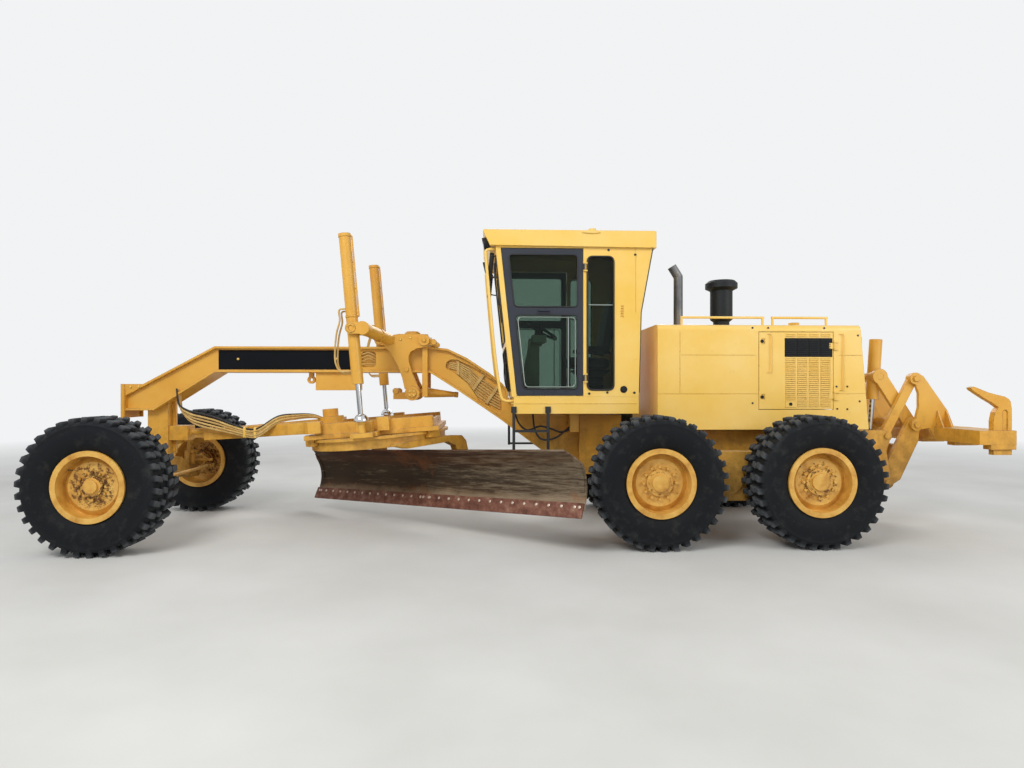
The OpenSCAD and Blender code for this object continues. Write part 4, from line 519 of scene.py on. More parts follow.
def block(size, middle=(0, 0, 0)):
    """A plain box about a place, its mesh in the part's own metres."""
    clear()
    bpy.ops.mesh.primitive_cube_add(size=1, location=middle)
    bpy.context.object.scale = size
    bpy.ops.object.transform_apply(rotation=False)
    return bpy.context.object


def rounded_box(size, bevel, segments=2):
    """A box about the origin with rounded edges."""
    block(size)
    bpy.ops.object.mode_set(mode="EDIT")
    bpy.ops.mesh.select_all(action="SELECT")
    bpy.ops.mesh.bevel(offset=bevel, segments=segments, affect="EDGES")
    return edited()


def extrude(x, y, z):
    """The selected faces drawn out by this much."""
    bpy.ops.mesh.extrude_region_move(TRANSFORM_OT_translate={"value": (x, y, z)})


def hex_head(radius, height):
    """A hexagon head on its washer, seated at the origin and facing +Z."""
    clear()
    bpy.ops.mesh.primitive_cylinder_add(vertices=12, radius=radius * 1.25, depth=height * 0.25,
                                        location=(0, 0, height * 0.125))
    washer = bpy.context.object
    bpy.ops.mesh.primitive_cylinder_add(vertices=6, radius=radius, depth=height * 0.75,
                                        location=(0, 0, height * 0.625))
    edit_faces(lambda face: face.normal.z > 0.9)
    bpy.ops.mesh.inset(thickness=radius * 0.16, depth=height * 0.08)
    head = edited()
    pick([head, washer])
    bpy.ops.object.join()
    bpy.ops.object.transform_apply()
    return head


def stepped_disc(vertices, radius, depth, steps):
    """A disc about the origin whose upper face is inset in steps of (width, height)."""
    clear()
    bpy.ops.mesh.primitive_cylinder_add(vertices=vertices, radius=radius, depth=depth)
    edit_faces(lambda face: face.normal.z > 0.9)
    for width, height in steps:
        bpy.ops.mesh.inset(thickness=width, depth=height)
    return edited()


# %% [markdown]
# A hose or a bent bar is a circle swept along a line. A curve does that at once, and the line goes
# smoothly through a few measured points. It becomes a mesh, as the other pieces are.

# %% Smooth lines and tubes
def smooth_line(points, per=8):
    """Points of a smooth line through the given ones."""
    p = [Vector(q) for q in points]
    p = [2 * p[0] - p[1]] + p + [2 * p[-1] - p[-2]]
    line = []
    for a, b, c, d in zip(p, p[1:], p[2:], p[3:]):
        for t in (i / per for i in range(per)):
            line.append(0.5 * (2 * b + (c - a) * t + (2 * a - 5 * b + 4 * c - d) * t * t
                               + (3 * b - a - 3 * c + d) * t ** 3))
    return line + [p[-2]]


def rounded_loop(corners, radius, steps=5):
    """A closed line through corners, each rounded off."""
    line = []
    for i, corner in enumerate(corners):
        before, at, after = (Vector(q) for q in (corners[i - 1], corner, corners[(i + 1) % len(corners)]))
        start = at + (before - at).normalized() * radius
        end = at + (after - at).normalized() * radius
        for t in (k / steps for k in range(steps + 1)):
            line.append(start * (1 - t) ** 2 + at * 2 * t * (1 - t) + end * t * t)
    return line


def tubes(name, lines, radius, finish, body, closed=False, sides=3):
    """Round tubes along lines of points, as one piece."""
    data = bpy.data.curves.new(name, "CURVE")
    data.dimensions = "3D"
    data.bevel_depth = radius
    data.bevel_resolution = sides
    data.use_fill_caps = not closed
    for line in lines:
        spline = data.splines.new("POLY")
        spline.points.add(len(line) - 1)
        for point, place in zip(spline.points, line):
            point.co = (*place, 1)
        spline.use_cyclic_u = closed
    piece = bpy.data.objects.new(name, data)
    scene.collection.objects.link(piece)
    pick([piece])
    bpy.ops.object.convert(target="MESH")
    return finish_piece(bpy.context.object, name, finish, body, 40)


# %% [markdown]
# ## Tyres
# A grader tyre has a smooth, bulging sidewall and two rows of bars that slant back from the shoulders,
# each split in two by a cross groove. The carcass is a profile drawn point by point and spun about the
# axle. One bar is a box with its end slid sideways and its edges rounded, spun round in copies.

# %% The carcass
# Columns are radius and half width, from the bead to the middle of the tread, in metres
TYRE_PROFILE = [(0.320, 0.150), (0.320, 0.170), (0.357, 0.170), (0.372, 0.180), (0.400, 0.197), (0.440, 0.2105),
                (0.485, 0.2175), (0.530, 0.2195), (0.566, 0.2180), (0.596, 0.2140), (0.603, 0.2165),
                (0.610, 0.2150), (0.622, 0.2070), (0.634, 0.1950), (0.639, 0.1800), (0.641, 0.1000),
                (0.642, 0.0)]
TYRE_STEPS = 96


def spun(points, steps):
    """A closed shell from (radius, half width) points, spun about the Y axis."""
    clear()
    bpy.ops.mesh.primitive_plane_add(size=0.01, location=(0, 0, 0))
    bpy.ops.object.mode_set(mode="EDIT")
    bpy.ops.mesh.select_all(action="SELECT")
    bpy.ops.mesh.merge(type="CENTER")
    first = points[0]
    bpy.ops.transform.translate(value=(0, first[1], first[0]))
    for a, b in zip(points, points[1:]):
        extrude(0, b[1] - a[1], b[0] - a[0])
    bpy.ops.mesh.select_all(action="SELECT")
    bpy.ops.mesh.spin(steps=steps, angle=2 * pi, center=(0, 0, 0), axis=(0, 1, 0))
    bpy.ops.mesh.select_all(action="SELECT")
    bpy.ops.mesh.remove_doubles(threshold=0.0004)
    bpy.ops.mesh.normals_make_consistent(inside=False)
    return edited()


both_sides = TYRE_PROFILE + [(r, -y) for r, y in reversed(TYRE_PROFILE[:-1])]
carcass = spun(both_sides + both_sides[:1], TYRE_STEPS)
print("carcass:", len(carcass.data.polygons), "faces")

# %% The bars of the tread
BARS = 34
TREAD_R, BAR_DEPTH = 0.6838, 0.056
# Columns are the inner and outer end along Y, the length round the tyre and the slide of the outer end
BAR_BLOCKS = [(0.012, 0.098, 0.066, 0.024), (0.112, 0.205, 0.066, 0.026)]


def tread_block(y0, y1, length, slide, side):
    """One block of every bar, all round the tyre; on the second side they stand half a step further."""
    block((length, y1 - y0, BAR_DEPTH), (0, (y0 + y1) / 2, TREAD_R - BAR_DEPTH / 2))
    # The outer end slides back, and the flanks lean so that the root is wider than the tip
    edit_faces(lambda face: face.normal.y > 0.9)
    bpy.ops.transform.translate(value=(slide, 0, 0))
    if y1 > 0.15:
        # The shoulder drops over the sidewall
        edit_faces(lambda face: face.normal.z < -0.9)
        bpy.ops.transform.translate(value=(0, 0.007, -0.016))
    edit_faces(lambda face: face.normal.z > 0.9)
    bpy.ops.transform.resize(value=(0.84, 0.95, 1.0))
    bpy.ops.mesh.select_all(action="SELECT")
    bpy.ops.mesh.bevel(offset=0.006, segments=1, affect="EDGES")
    bpy.ops.mesh.select_all(action="SELECT")
    if side < 0:
        bpy.ops.transform.resize(value=(1, -1, 1), center_override=(0, 0, 0))
        bpy.ops.mesh.flip_normals()
    bpy.ops.mesh.spin(steps=BARS - 1, angle=2 * pi * (BARS - 1) / BARS, dupli=True, center=(0, 0, 0),
                      axis=(0, 1, 0))
    ring = edited()
    ring.rotation_euler = (0, 0 if side > 0 else pi / BARS, 0)
    bpy.ops.object.transform_apply(location=False, scale=False)
    return ring


pick([carcass] + [tread_block(*columns, side) for side in (1, -1) for columns in BAR_BLOCKS])
bpy.ops.object.join()
tyre_model = bpy.context.object
print("tyre:", len(tyre_model.data.polygons), "faces")

# %% One tyre at each wheel
for place, x in WHEELS.items():
    for side, s in SIDES:
        turned = Matrix.Translation((x, s * WHEEL_Y, WHEEL_Z)) @ Matrix.Rotation(0 if s > 0 else pi, 4, "Z")
        tyre = copies_at(tyre_model, [turned], f"tyre_with_bars_{place}_{side}", tyres[place],
                         f"wheel_{place}_{side}", 35, keep=True)
        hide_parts(f"tyre_{place}_{side}")
bpy.data.objects.remove(tyre_model)

# %% [markdown]
# A valve stem sits in each rim. It is too small for the drawing, but it tells the eye that this is a wheel.

# %% Valve stems
clear()
bpy.ops.mesh.primitive_cylinder_add(vertices=12, radius=0.006, depth=0.075)
edit_faces(lambda face: face.normal.z > 0.9)
bpy.ops.mesh.inset(thickness=-0.003)
extrude(0, 0, 0.016)
valve = edited()
for place, x in WHEELS.items():
    for side, s in SIDES:
        base = Vector((x + 0.20, s * (WHEEL_Y + 0.088), WHEEL_Z + 0.155))
        copies_at(valve, [facing(base, (0.25, s, 0.2))], f"valve_stem_{place}_{side}", bolt_steel,
                  f"wheel_{place}_{side}", 40, keep=True)
bpy.data.objects.remove(valve)

# %% [markdown]
# ## Cab
# Each pane is held by a black rubber seal that stands a few millimetres proud of the sheet. A rounded
# line round the opening with a fat round section gives it, and half of it hides in the sheet.

# %% Window seals
CAB_Y, FLOOR_Z, EAVE_Z = 0.730, 1.554, 3.205
FRONT_LOW, FRONT_TOP = 2.312, 2.490


def front_at(z):
    """X of the windscreen's plane at a height."""
    return FRONT_LOW + (z - FLOOR_Z) * (FRONT_TOP - FRONT_LOW) / (EAVE_Z - FLOOR_Z)


def side_loop(corners, y, radius):
    """A closed line round a window in the cab's flank."""
    return rounded_loop([(x, y, z) for x, z in corners], radius)


side_pane = [(1.190, 1.630), (1.480, 1.630), (1.480, 3.095), (1.190, 3.095)]
door_panes = [[(1.590, z0), (front_at(z0) - 0.135, z0), (front_at(z1) - 0.135, z1), (1.590, z1)]
              for z0, z1 in ((1.639, 2.450), (2.540, 3.110))]
for side, s in SIDES:
    tubes(f"side_window_seal_{side}", [side_loop(side_pane, s * (CAB_Y + 0.001), 0.062)], 0.011, seal_rubber,
          "front_frame", True)
    tubes(f"door_window_seals_{side}", [side_loop(p, s * (CAB_Y + 0.001), 0.045) for p in door_panes], 0.008,
          seal_rubber, f"cab_door_{side}", True)

# %% Windscreen seals
windscreen = [[(-0.64, 2.18), (0.64, 2.18), (0.64, 3.125), (-0.64, 3.125)],
              [(0.06, 1.62), (0.64, 1.62), (0.64, 2.10), (0.06, 2.10)],
              [(-0.64, 1.62), (-0.06, 1.62), (-0.06, 2.10), (-0.64, 2.10)]]
lines = [rounded_loop([(front_at(z) + 0.001, y, z) for y, z in pane], 0.058) for pane in windscreen]
back_slope = (0.757 - 0.889) / (EAVE_Z - 2.481)
back_pane = [(-0.61, 2.541), (0.61, 2.541), (0.61, 3.125), (-0.61, 3.125)]
lines.append(rounded_loop([(0.889 + (z - 2.481) * back_slope - 0.001, y, z) for y, z in back_pane], 0.058))
tubes("windscreen_and_rear_seals", lines, 0.010, seal_rubber, "front_frame", True)
print("seals round", 2 * 3 + len(lines), "panes")

# %% [markdown]
# The lower pane of each door slides in a thin aluminium frame, which shows as a bright line inside the
# seal. The same extrusion closes the upper edge of the rear side pane's vent.

# %% Aluminium frames of the sliding panes
for side, s in SIDES:
    inner = [(1.612, 1.662), (2.166, 1.662), (2.248, 2.428), (1.612, 2.428)]
    tubes(f"sliding_pane_frame_{side}", [side_loop(inner, s * 0.7185, 0.05)], 0.006, pane_aluminium,
          f"cab_door_{side}", True)
    tubes(f"sliding_pane_bar_{side}", [[(1.690, s * 0.7185, 1.664 + 0.0382 * k) for k in range(21)]], 0.006,
          pane_aluminium, f"cab_door_{side}")
    tubes(f"vent_bar_{side}", [[(1.196 + 0.02 * k, s * 0.7185, 2.565) for k in range(15)]], 0.007,
          pane_aluminium, "front_frame")

# %% [markdown]
# Work lamps hang under the roof's front corners. Each is a plastic bowl with a flat lens, made from a
# cylinder: the front is inset and pushed in for the lens, and the back is drawn out and rounded.

# %% Work lamps
def lamp_bowl(radius, depth):
    """A lamp housing that faces +Z, with a rim and a recessed front."""
    clear()
    bpy.ops.mesh.primitive_cylinder_add(vertices=28, radius=radius, depth=depth, location=(0, 0, 0))
    edit_faces(lambda face: face.normal.z < -0.9)
    for scale, push in ((0.86, -0.020), (0.62, -0.016), (0.4, -0.006)):
        extrude(0, 0, push)
        bpy.ops.transform.resize(value=(scale, scale, 1))
    edit_faces(lambda face: face.normal.z > 0.9)
    bpy.ops.mesh.inset(thickness=radius * 0.10)
    extrude(0, 0, -depth * 0.3)
    return edited()


LAMP_PLACES = [Vector((2.600, s * 0.655, 3.236)) for s in (1, -1)]
lamp_way = Vector((1, 0, -0.25)).normalized()
bowl = lamp_bowl(0.074, 0.045)
copies_at(bowl, [facing(p, lamp_way) for p in LAMP_PLACES], "work_lamp_bowls", black_plastic, "front_frame",
          35)
clear()
bpy.ops.mesh.primitive_uv_sphere_add(segments=28, ring_count=8, radius=0.066, location=(0, 0, 0))
bpy.context.object.scale = (1, 1, 0.16)
bpy.ops.object.transform_apply()
lens = bpy.context.object
copies_at(lens, [facing(p + lamp_way * 0.011, lamp_way) for p in LAMP_PLACES], "work_lamp_lenses", lamp_glass,
          "front_frame", 60, keep=True)
# The rear lamps sit in housings on the hood's back
rear_lens = [facing((-1.7245, s * 0.485, 2.190), (-1, 0, 0)) for s in (1, -1)]
copies_at(lens, [m @ Matrix.Diagonal((0.62, 0.58, 0.8, 1)) for m in rear_lens], "rear_lamp_lenses", red_lens,
          "rear_frame", 60)

# %% [markdown]
# A folding mirror and the wiper arms are slim black parts that stand off the glass. The mirror is a flat
# box with soft edges and an inset face, and the wipers are bars with a rubber blade.

# %% Mirrors and wipers
copies_at(rounded_box((0.050, 0.030, 0.310), 0.012, 3),
          [m @ Matrix.Rotation(-0.10, 4, "Y") for m in pair_at(2.540, 0.640, 2.990)],
          "mirror_shells", black_plastic, "front_frame", 35)
arms = [[(2.492, s * 0.655, 3.10), (2.520, s * 0.655, 3.115), (2.545, s * 0.645, 3.10)] for s in (1, -1)]
arms += [[(2.462, s * 0.655, 2.87), (2.500, s * 0.655, 2.875), (2.530, s * 0.645, 2.88)] for s in (1, -1)]
tubes("mirror_arms", [smooth_line(a, 4) for a in arms], 0.008, black_paint, "front_frame")
# Columns are the distance in front of the glass, Y and Z
sweeps = [[(0.012, 0.05, 3.15), (0.030, 0.16, 2.90), (0.018, 0.27, 2.62)]]
sweeps += [[(0.012, s * 0.36, 1.60), (0.028, s * 0.33, 1.78), (0.014, s * 0.28, 1.96)] for s in (1, -1)]
lines = [smooth_line([(front_at(z) + off, y, z) for off, y, z in sweep], 5) for sweep in sweeps]
tubes("wiper_arms", lines, 0.006, black_paint, "front_frame")
# Each rubber leans with the glass; the lower two are shorter
places = [Matrix.Translation((front_at(z) + 0.010, y, z)) @ Matrix.Rotation(0.107, 4, "Y")
          @ Matrix.Scale(size, 4) for y, z, size in ((0.27, 2.66, 1.0), (0.28, 1.88, 0.7), (-0.28, 1.88, 0.7))]
copies_at(rounded_box((0.012, 0.016, 0.50), 0.003, 1), places, "wiper_blades", seal_rubber, "front_frame",
          30)

# %% [markdown]
# The cab is bolted and sealed along its joints: a folded seam down the flank, a black weather strip down
# the slanted rear edge, a rubber plug in the filler hole, and a few round-headed screws.

# %% Seams and screws on the cab
for side, s in SIDES:
    edge = [(x, s * 0.722, z) for x, z in ((0.755, 3.19), (0.885, 2.485), (0.908, 1.60))]
    strip = [tuple(Vector(a).lerp(Vector(b), k / 6)) for a, b in zip(edge, edge[1:]) for k in range(7)]
    tubes(f"rear_weather_strip_{side}", [strip], 0.009, seal_rubber, "front_frame", sides=2)
copies_at(rounded_box((0.006, 0.004, 0.700), 0.0015, 1), pair_at(0.946, 0.7315, 2.84), "cab_flank_seams",
          panel_paint, "front_frame")
plug = stepped_disc(24, 0.038, 0.016, [(0.010, -0.004), (0.008, 0.006)])
copies_at(plug, on_flanks([(1.077, 1.634)], 0.722), "filler_plugs", black_plastic, "front_frame",
          35)
spots = [(1.246, 3.169), (1.261, 1.602), (0.95, 3.12), (0.96, 1.60), (1.46, 1.59)]
copies_at(hex_head(0.011, 0.010), on_flanks(spots, CAB_Y - 0.001), "cab_screws", black_paint, "front_frame")

# %% [markdown]
# ## Seat
# The driver's seat is two foam cushions in black vinyl. The cushion is crowned in the middle, pulled in
# along its sides between the corners, and sewn across in channels. A box is cut finely and each point is
# moved by those rules, then one subdivision smooths it. The base, the bellows and the armrests
# are plain hard parts round it.

# %% Cushion maker
def cushion(size, channels, crown=0.30, pull=0.05, depth=0.010):
    """A sewn foam cushion about the origin, lying flat, with channels across it at the given places in X."""
    clear()
    bpy.ops.mesh.primitive_cube_add(size=2)
    pad = bpy.context.object
    bpy.ops.object.mode_set(mode="EDIT")
    bpy.ops.mesh.select_all(action="SELECT")
    bpy.ops.mesh.subdivide(number_cuts=23)
    bpy.ops.object.mode_set(mode="OBJECT")
    half = Vector(size) / 2
    for vertex in pad.data.vertices:
        u, v, w = vertex.co
        # Rounded in plan and in section
        round_u = u * math.sqrt(max(0.0, 1 - 0.16 * v * v * v * v - 0.14 * w * w * w * w))
        round_v = v * math.sqrt(max(0.0, 1 - 0.16 * u * u * u * u - 0.20 * w * w * w * w))
        round_u *= 1 - pull * (1 - v * v)
        round_v *= 1 - pull * (1 - u * u)
        high = w * (1 - crown * (abs(u) ** 3 + abs(v) ** 3) * 0.5)
        x, y, z = round_u * half.x, round_v * half.y, high * half.z
        if w > 0.2:
            for c in channels:
                z -= depth * math.exp(-((x - c) / 0.011) ** 2)
        # The welt seam runs round the top, about 35 mm in from the edge
        if w > 0.9:
            rim = max(abs(u), abs(v))
            z -= 0.006 * math.exp(-((rim - 0.86) / 0.035) ** 2)
        vertex.co = (x, y, z)
    modifier = pad.modifiers.new("round", "SUBSURF")
    modifier.levels = modifier.render_levels = 1
    bpy.ops.object.modifier_apply(modifier="round")
    return pad


# %% Seat cushions, armrests and base
back_lean = math.atan2(0.11, 0.695)
base_pad = cushion((0.500, 0.520, 0.150), [-0.12, 0.02, 0.14])
base_pad.matrix_world = Matrix.Translation((1.372, 0, 1.950)) @ Matrix.Rotation(-0.04, 4, "Y")
base_pad = finish_piece(base_pad, "seat_cushion", seat_vinyl, "front_frame", 60)
back_pad = cushion((0.660, 0.500, 0.120), [-0.20, -0.08, 0.04, 0.16])
back_pad.matrix_world = (Matrix.Translation((1.128, 0, 2.372)) @ Matrix.Rotation(-back_lean, 4, "Y")
                         @ Matrix.Rotation(-pi / 2, 4, "Y") @ Matrix.Rotation(pi, 4, "Z"))
back_pad = finish_piece(back_pad, "seat_back_cushion", seat_vinyl, "front_frame", 60)
arm_pad = cushion((0.350, 0.066, 0.058), [], 0.25, 0.01)
arm_pads = copies_at(arm_pad, pair_at(1.325, 0.296, 2.112), "armrest_pads", seat_vinyl, "front_frame",
                     60)
block((0.300, 0.240, 0.028), (1.330, 0, 1.568))
edit_faces(lambda face: face.normal.z > 0.9)
# The rubber bellows: each fold is two steps, in and out
for k in range(6):
    for wide, deep in ((0.88, 0.86), (1 / 0.88, 1 / 0.86)):
        extrude(0, 0, 0.018)
        bpy.ops.transform.resize(value=(wide, deep, 1))
extrude(0, 0, 0.070)
bpy.ops.transform.resize(value=(1.45, 1.9, 1))
bellows = finish_piece(edited(), "seat_bellows_and_pan", black_plastic, "front_frame")
brackets = tubes("armrest_brackets", [smooth_line([(1.130, s * 0.235, 2.06), (1.150, s * 0.290, 2.07),
                                                   (1.240, s * 0.296, 2.085)]) for s in (1, -1)],
                 0.012, black_paint, "front_frame")
for piece in (base_pad, back_pad, arm_pads, bellows, brackets):
    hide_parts("seat")

# %% [markdown]
# ## Bent bars and hydraulic hoses
# The grab bars beside the windscreen are one bent tube each, so a smooth line replaces the mitred
# sketch. Steel-braided hoses run from the neck to the drawbar, and small ones feed the lift cylinders.

# %% Grab bars
# Columns are X from the foot of the windscreen and Z from the cab's floor, in millimetres
GRAB = [(181, 1624), (245, 1620), (278, 1600), (280, 1511), (225, 882), (179, 419), (123, 40), (77, -40),
        (-18, -46)]
lines = [smooth_line([((2312 + x) / 1000, s * 0.690, (1554 + z) / 1000) for x, z in GRAB], 6) for s in (1, -1)]
bars = tubes("bent_grab_bars", lines, 0.0165, panel_paint, "front_frame", sides=4)
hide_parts("grab_bars")

# %% [markdown]
# The bundle fans out between the nose and the first clamp, runs low over the drawbar through two clamps,
# and ends in the motor that turns the circle. Each hose keeps its own place across the bundle, and the
# fan is a height that grows and shrinks along the way.

# %% Hoses from the nose to the circle
# Columns are X, the distance from the middle, the height of the middle hose, and how far the fan spreads
BUNDLE = [(6.165, 0.150, 1.640, 0.010), (6.150, 0.152, 1.500, 0.030), (6.120, 0.156, 1.400, 0.080),
          (6.010, 0.165, 1.318, 0.130), (5.860, 0.180, 1.275, 0.150), (5.700, 0.215, 1.238, 0.140),
          (5.540, 0.262, 1.196, 0.110), (5.395, 0.306, 1.160, 0.092), (5.250, 0.362, 1.138, 0.088),
          (5.130, 0.418, 1.165, 0.088), (4.938, 0.400, 1.296, 0.070), (4.760, 0.280, 1.325, 0.050),
          (4.620, 0.160, 1.325, 0.030), (4.520, 0.080, 1.292, 0.010)]


def bundle_line(k):
    """Hose number k of five, from the lowest to the highest; they lie side by side at the nose."""
    points = []
    for x, y, z, fan in BUNDLE:
        at_nose = max(0.0, (x - 5.7) / 0.46)
        points.append((x, y + 0.010 * (k % 2) + 0.018 * (k - 2) * at_nose, z + fan * (k - 2) / 4))
    return smooth_line(points, 5)


tubes("drawbar_hoses", [bundle_line(k) for k in range(4)], 0.0115, hose_rubber, "drawbar")
tubes("black_drawbar_hose", [bundle_line(4)], 0.0105, black_hose, "drawbar")
strap = rounded_box((0.030, 0.046, 0.124), 0.008, 2)
along_beam = Matrix.Rotation(math.atan2(-0.42, 1.0), 4, "Z")
places = [Matrix.Translation(place) @ along_beam for place in ((5.330, 0.330, 1.149), (5.190, 0.390, 1.148))]
copies_at(strap, places, "hose_clamps", panel_paint, "drawbar", 35)

# %% [markdown]
# Other hoses feed the lift cylinders, cross the slots of the neck, and loop under the cab and behind the
# circle. Each one starts and ends in the part that it is screwed to.

# %% Short hoses
for side, s in SIDES:
    down = [(4.060, 0.850, 2.470), (4.128, 0.846, 2.452), (4.122, 0.842, 2.345), (4.156, 0.840, 2.207),
            (4.172, 0.838, 2.034), (4.166, 0.840, 1.896), (4.120, 0.844, 1.812), (4.050, 0.850, 1.806),
            (3.980, 0.850, 1.810)]
    pair = [smooth_line([(x + dx, s * (y + dy), z + dx) for x, y, z in down], 5)
            for dx, dy in ((0.0, -0.016), (0.020, 0.018))]
    tubes(f"lift_barrel_hoses_{side}", pair, 0.0095, hose_rubber, f"lift_barrel_{side}")
# Columns are the height at both walls of the slot and in the middle
SLOT_HOSES = [(2.040, 2.068, 2.022), (2.004, 2.030, 1.990), (1.962, 1.992, 1.960), (1.928, 1.936, 1.930)]
lines = [smooth_line([(4.070, s * 0.130, a), (4.020, s * 0.152, (a + b) / 2), (3.970, s * 0.160, b),
                      (3.920, s * 0.150, (b + c) / 2), (3.880, s * 0.130, c)], 5)
         for s in (1, -1) for a, b, c in SLOT_HOSES]
tubes("neck_slot_hoses", lines, 0.0090, hose_rubber, "front_frame")
UNDER_CAB = [[(2.270, 0.450, 1.390), (2.220, 0.450, 1.250), (2.120, 0.445, 1.172), (1.978, 0.440, 1.215),
              (1.850, 0.430, 1.185), (1.749, 0.420, 1.149), (1.660, 0.420, 1.165), (1.600, 0.420, 1.200)],
             [(2.060, 0.400, 1.390), (2.040, 0.410, 1.200), (1.990, 0.425, 1.090), (1.910, 0.430, 1.058),
              (1.790, 0.425, 1.085), (1.680, 0.420, 1.170), (1.600, 0.420, 1.230)]]
lines = [smooth_line([(x, s * y, z) for x, y, z in line], 6) for s in (1, -1) for line in UNDER_CAB]
tubes("hoses_under_cab", lines, 0.0110, black_hose, "front_frame")
BEHIND = [(3.250, 1.262), (3.275, 1.300), (3.340, 1.316), (3.430, 1.300), (3.478, 1.262), (3.462, 1.215),
          (3.400, 1.165)]
lines = [smooth_line([(x - 0.022 * k, y, z) for x, z in BEHIND], 6)
         for k, y in enumerate((0.10, 0.16, 0.23, -0.12))]
tubes("loops_behind_circle", lines, 0.0085, black_hose, "drawbar")

# %% [markdown]
# ## Sheet-metal details
# The louvres of an engine door are pressed out of the sheet: every slot has a lip over it, flush at its
# top and open below, and a black wire screen closes the door behind them. The lip is a box whose
# upper face is pushed back into the sheet, copied along four columns.

# %% Louvre lips
LOUVRE_COLUMNS = [-1.2625, -1.1275, -0.9925, -0.8575]
LOUVRE_STEP, LOUVRE_FIRST = 0.022, 1.449
DOOR_Y = 0.600


def louvre_lip():
    """A lip on the XY plane that faces +Z, open towards -Y."""
    block((0.116, 0.015, 0.011), (0, 0, 0.004))
    edit_faces(lambda face: face.normal.y > 0.9)
    bpy.ops.transform.resize(value=(1, 1, 0.15))
    bpy.ops.transform.translate(value=(0, 0, -0.0045))
    edit_faces(lambda face: face.normal.z > 0.5)
    bpy.ops.transform.resize(value=(0.93, 1, 1))
    return edited()


lip = louvre_lip()
rows = [LOUVRE_FIRST + LOUVRE_STEP * k for k in range(25)] + [2.243, 2.266]
dark_rows = [2.020 + LOUVRE_STEP * k for k in range(9)]
for side, s in SIDES:
    places = [facing((x, s * DOOR_Y, z), (0, s, 0)) for x in LOUVRE_COLUMNS for z in rows
              if not (x > -0.9 and z < 1.50)]
    copies_at(lip, places, f"louvre_lips_{side}", panel_paint, f"engine_door_{side}", keep=True)
    plate_at = Matrix.Translation((-1.066, s * (DOOR_Y + 0.001), 2.111))
    copies_at(rounded_box((0.552, 0.004, 0.214), 0.0015, 1), [plate_at], f"dark_grille_plate_{side}",
              mesh_black, f"engine_door_{side}")
    places = [facing((x, s * (DOOR_Y + 0.002), z), (0, s, 0)) for x in LOUVRE_COLUMNS for z in dark_rows]
    copies_at(lip, places, f"dark_grille_slats_{side}", black_plastic, f"engine_door_{side}",
              keep=True)
bpy.data.objects.remove(lip)

# %% Wire screens behind the louvres
for side, s in SIDES:
    clear()
    bpy.ops.mesh.primitive_plane_add(size=1)
    screen = bpy.context.object
    screen.scale = (0.560, 0.640, 1)
    bpy.ops.object.transform_apply()
    edit_faces(lambda face: True)
    bpy.ops.mesh.inset(thickness=0.010, depth=-0.003)
    bpy.ops.object.mode_set(mode="OBJECT")
    wall = screen.modifiers.new("wall", "SOLIDIFY")
    wall.thickness = 0.002
    bpy.ops.object.modifier_apply(modifier="wall")
    screen.matrix_world = facing((-1.060, s * (DOOR_Y - 0.034), 1.735), (0, s, 0))
    finish_piece(screen, f"wire_screen_{side}", mesh_black, f"engine_door_{side}")

# %% [markdown]
# A door of this size is pulled open by a bent rod, and a keyed latch holds it. The same rod stands on the
# fixed panel behind the door. Round black knobs and screws mark where each sheet is held.

# %% Rods, latches and screws of the hood
PULL_ROD = [(-0.585, 1.823), (-0.612, 1.832), (-0.630, 1.858), (-0.632, 2.050), (-0.633, 2.240),
            (-0.615, 2.262), (-0.585, 2.268)]
PANEL_ROD = [(-1.422, 1.624), (-1.448, 1.632), (-1.464, 1.655), (-1.466, 1.950), (-1.467, 2.238),
             (-1.448, 2.260), (-1.418, 2.268)]
ROD_STANDS_OFF = [-0.004, 0.014, 0.016, 0.016, 0.016, 0.014, -0.004]
for side, s in SIDES:
    for name, rod, body in (("door_pull", PULL_ROD, f"engine_door_{side}"),
                            ("rear_panel_rod", PANEL_ROD, "rear_frame")):
        line = smooth_line([(x, s * (DOOR_Y + d), z) for (x, z), d in zip(rod, ROD_STANDS_OFF)], 4)
        tubes(f"{name}_{side}", [line], 0.0055, panel_paint, body)
for side, s in SIDES:
    plate_at = Matrix.Translation((-0.8575, s * (DOOR_Y + 0.001), 1.468))
    copies_at(rounded_box((0.122, 0.006, 0.080), 0.002, 1), [plate_at], f"latch_plate_{side}", panel_paint,
              f"engine_door_{side}")
    knobs = [facing((x, s * (DOOR_Y + 0.002), z), (0, s, 0))
             for x, z in ((-0.8575, 1.468), (-0.530, 1.550), (-0.530, 2.180))]
    copies_at(stepped_disc(20, 0.019, 0.012, [(0.004, 0.003), (0.006, -0.004)]), knobs, f"door_latches_{side}",
              black_plastic, f"engine_door_{side}", 35)
spots = [(-1.391, 1.668), (-1.516, 1.668), (-1.400, 1.415), (-1.516, 1.411), (-1.249, 2.333), (-0.600, 2.333),
         (-0.420, 2.333), (-0.420, 1.480), (-1.640, 2.250), (-1.660, 1.500)]
copies_at(hex_head(0.009, 0.008), on_flanks(spots, DOOR_Y), "hood_screws", black_paint, "rear_frame")

# %% [markdown]
# The foot of the cab is folded from one sheet, and the fold shows as a crease along each flank.

# %% The crease along the foot of the cab
copies_at(rounded_box((1.386, 0.008, 0.010), 0.003, 1), pair_at(1.628, 0.7305, 1.481), "cab_foot_creases",
          panel_paint, "front_frame")

# %% [markdown]
# A plain black strip of vinyl runs along each flank of the neck. It is a thin sheet between the flanges,
# and two hexagon bolts come through it. More such bolts hold the saddle, the yokes and the nose plate.

# %% Vinyl strips and bolts of the neck
copies_at(rounded_box((1.645, 0.0016, 0.228), 0.0006, 1), pair_at(4.8825, 0.1504, 1.981), "neck_strips",
          strip_vinyl, "front_frame")


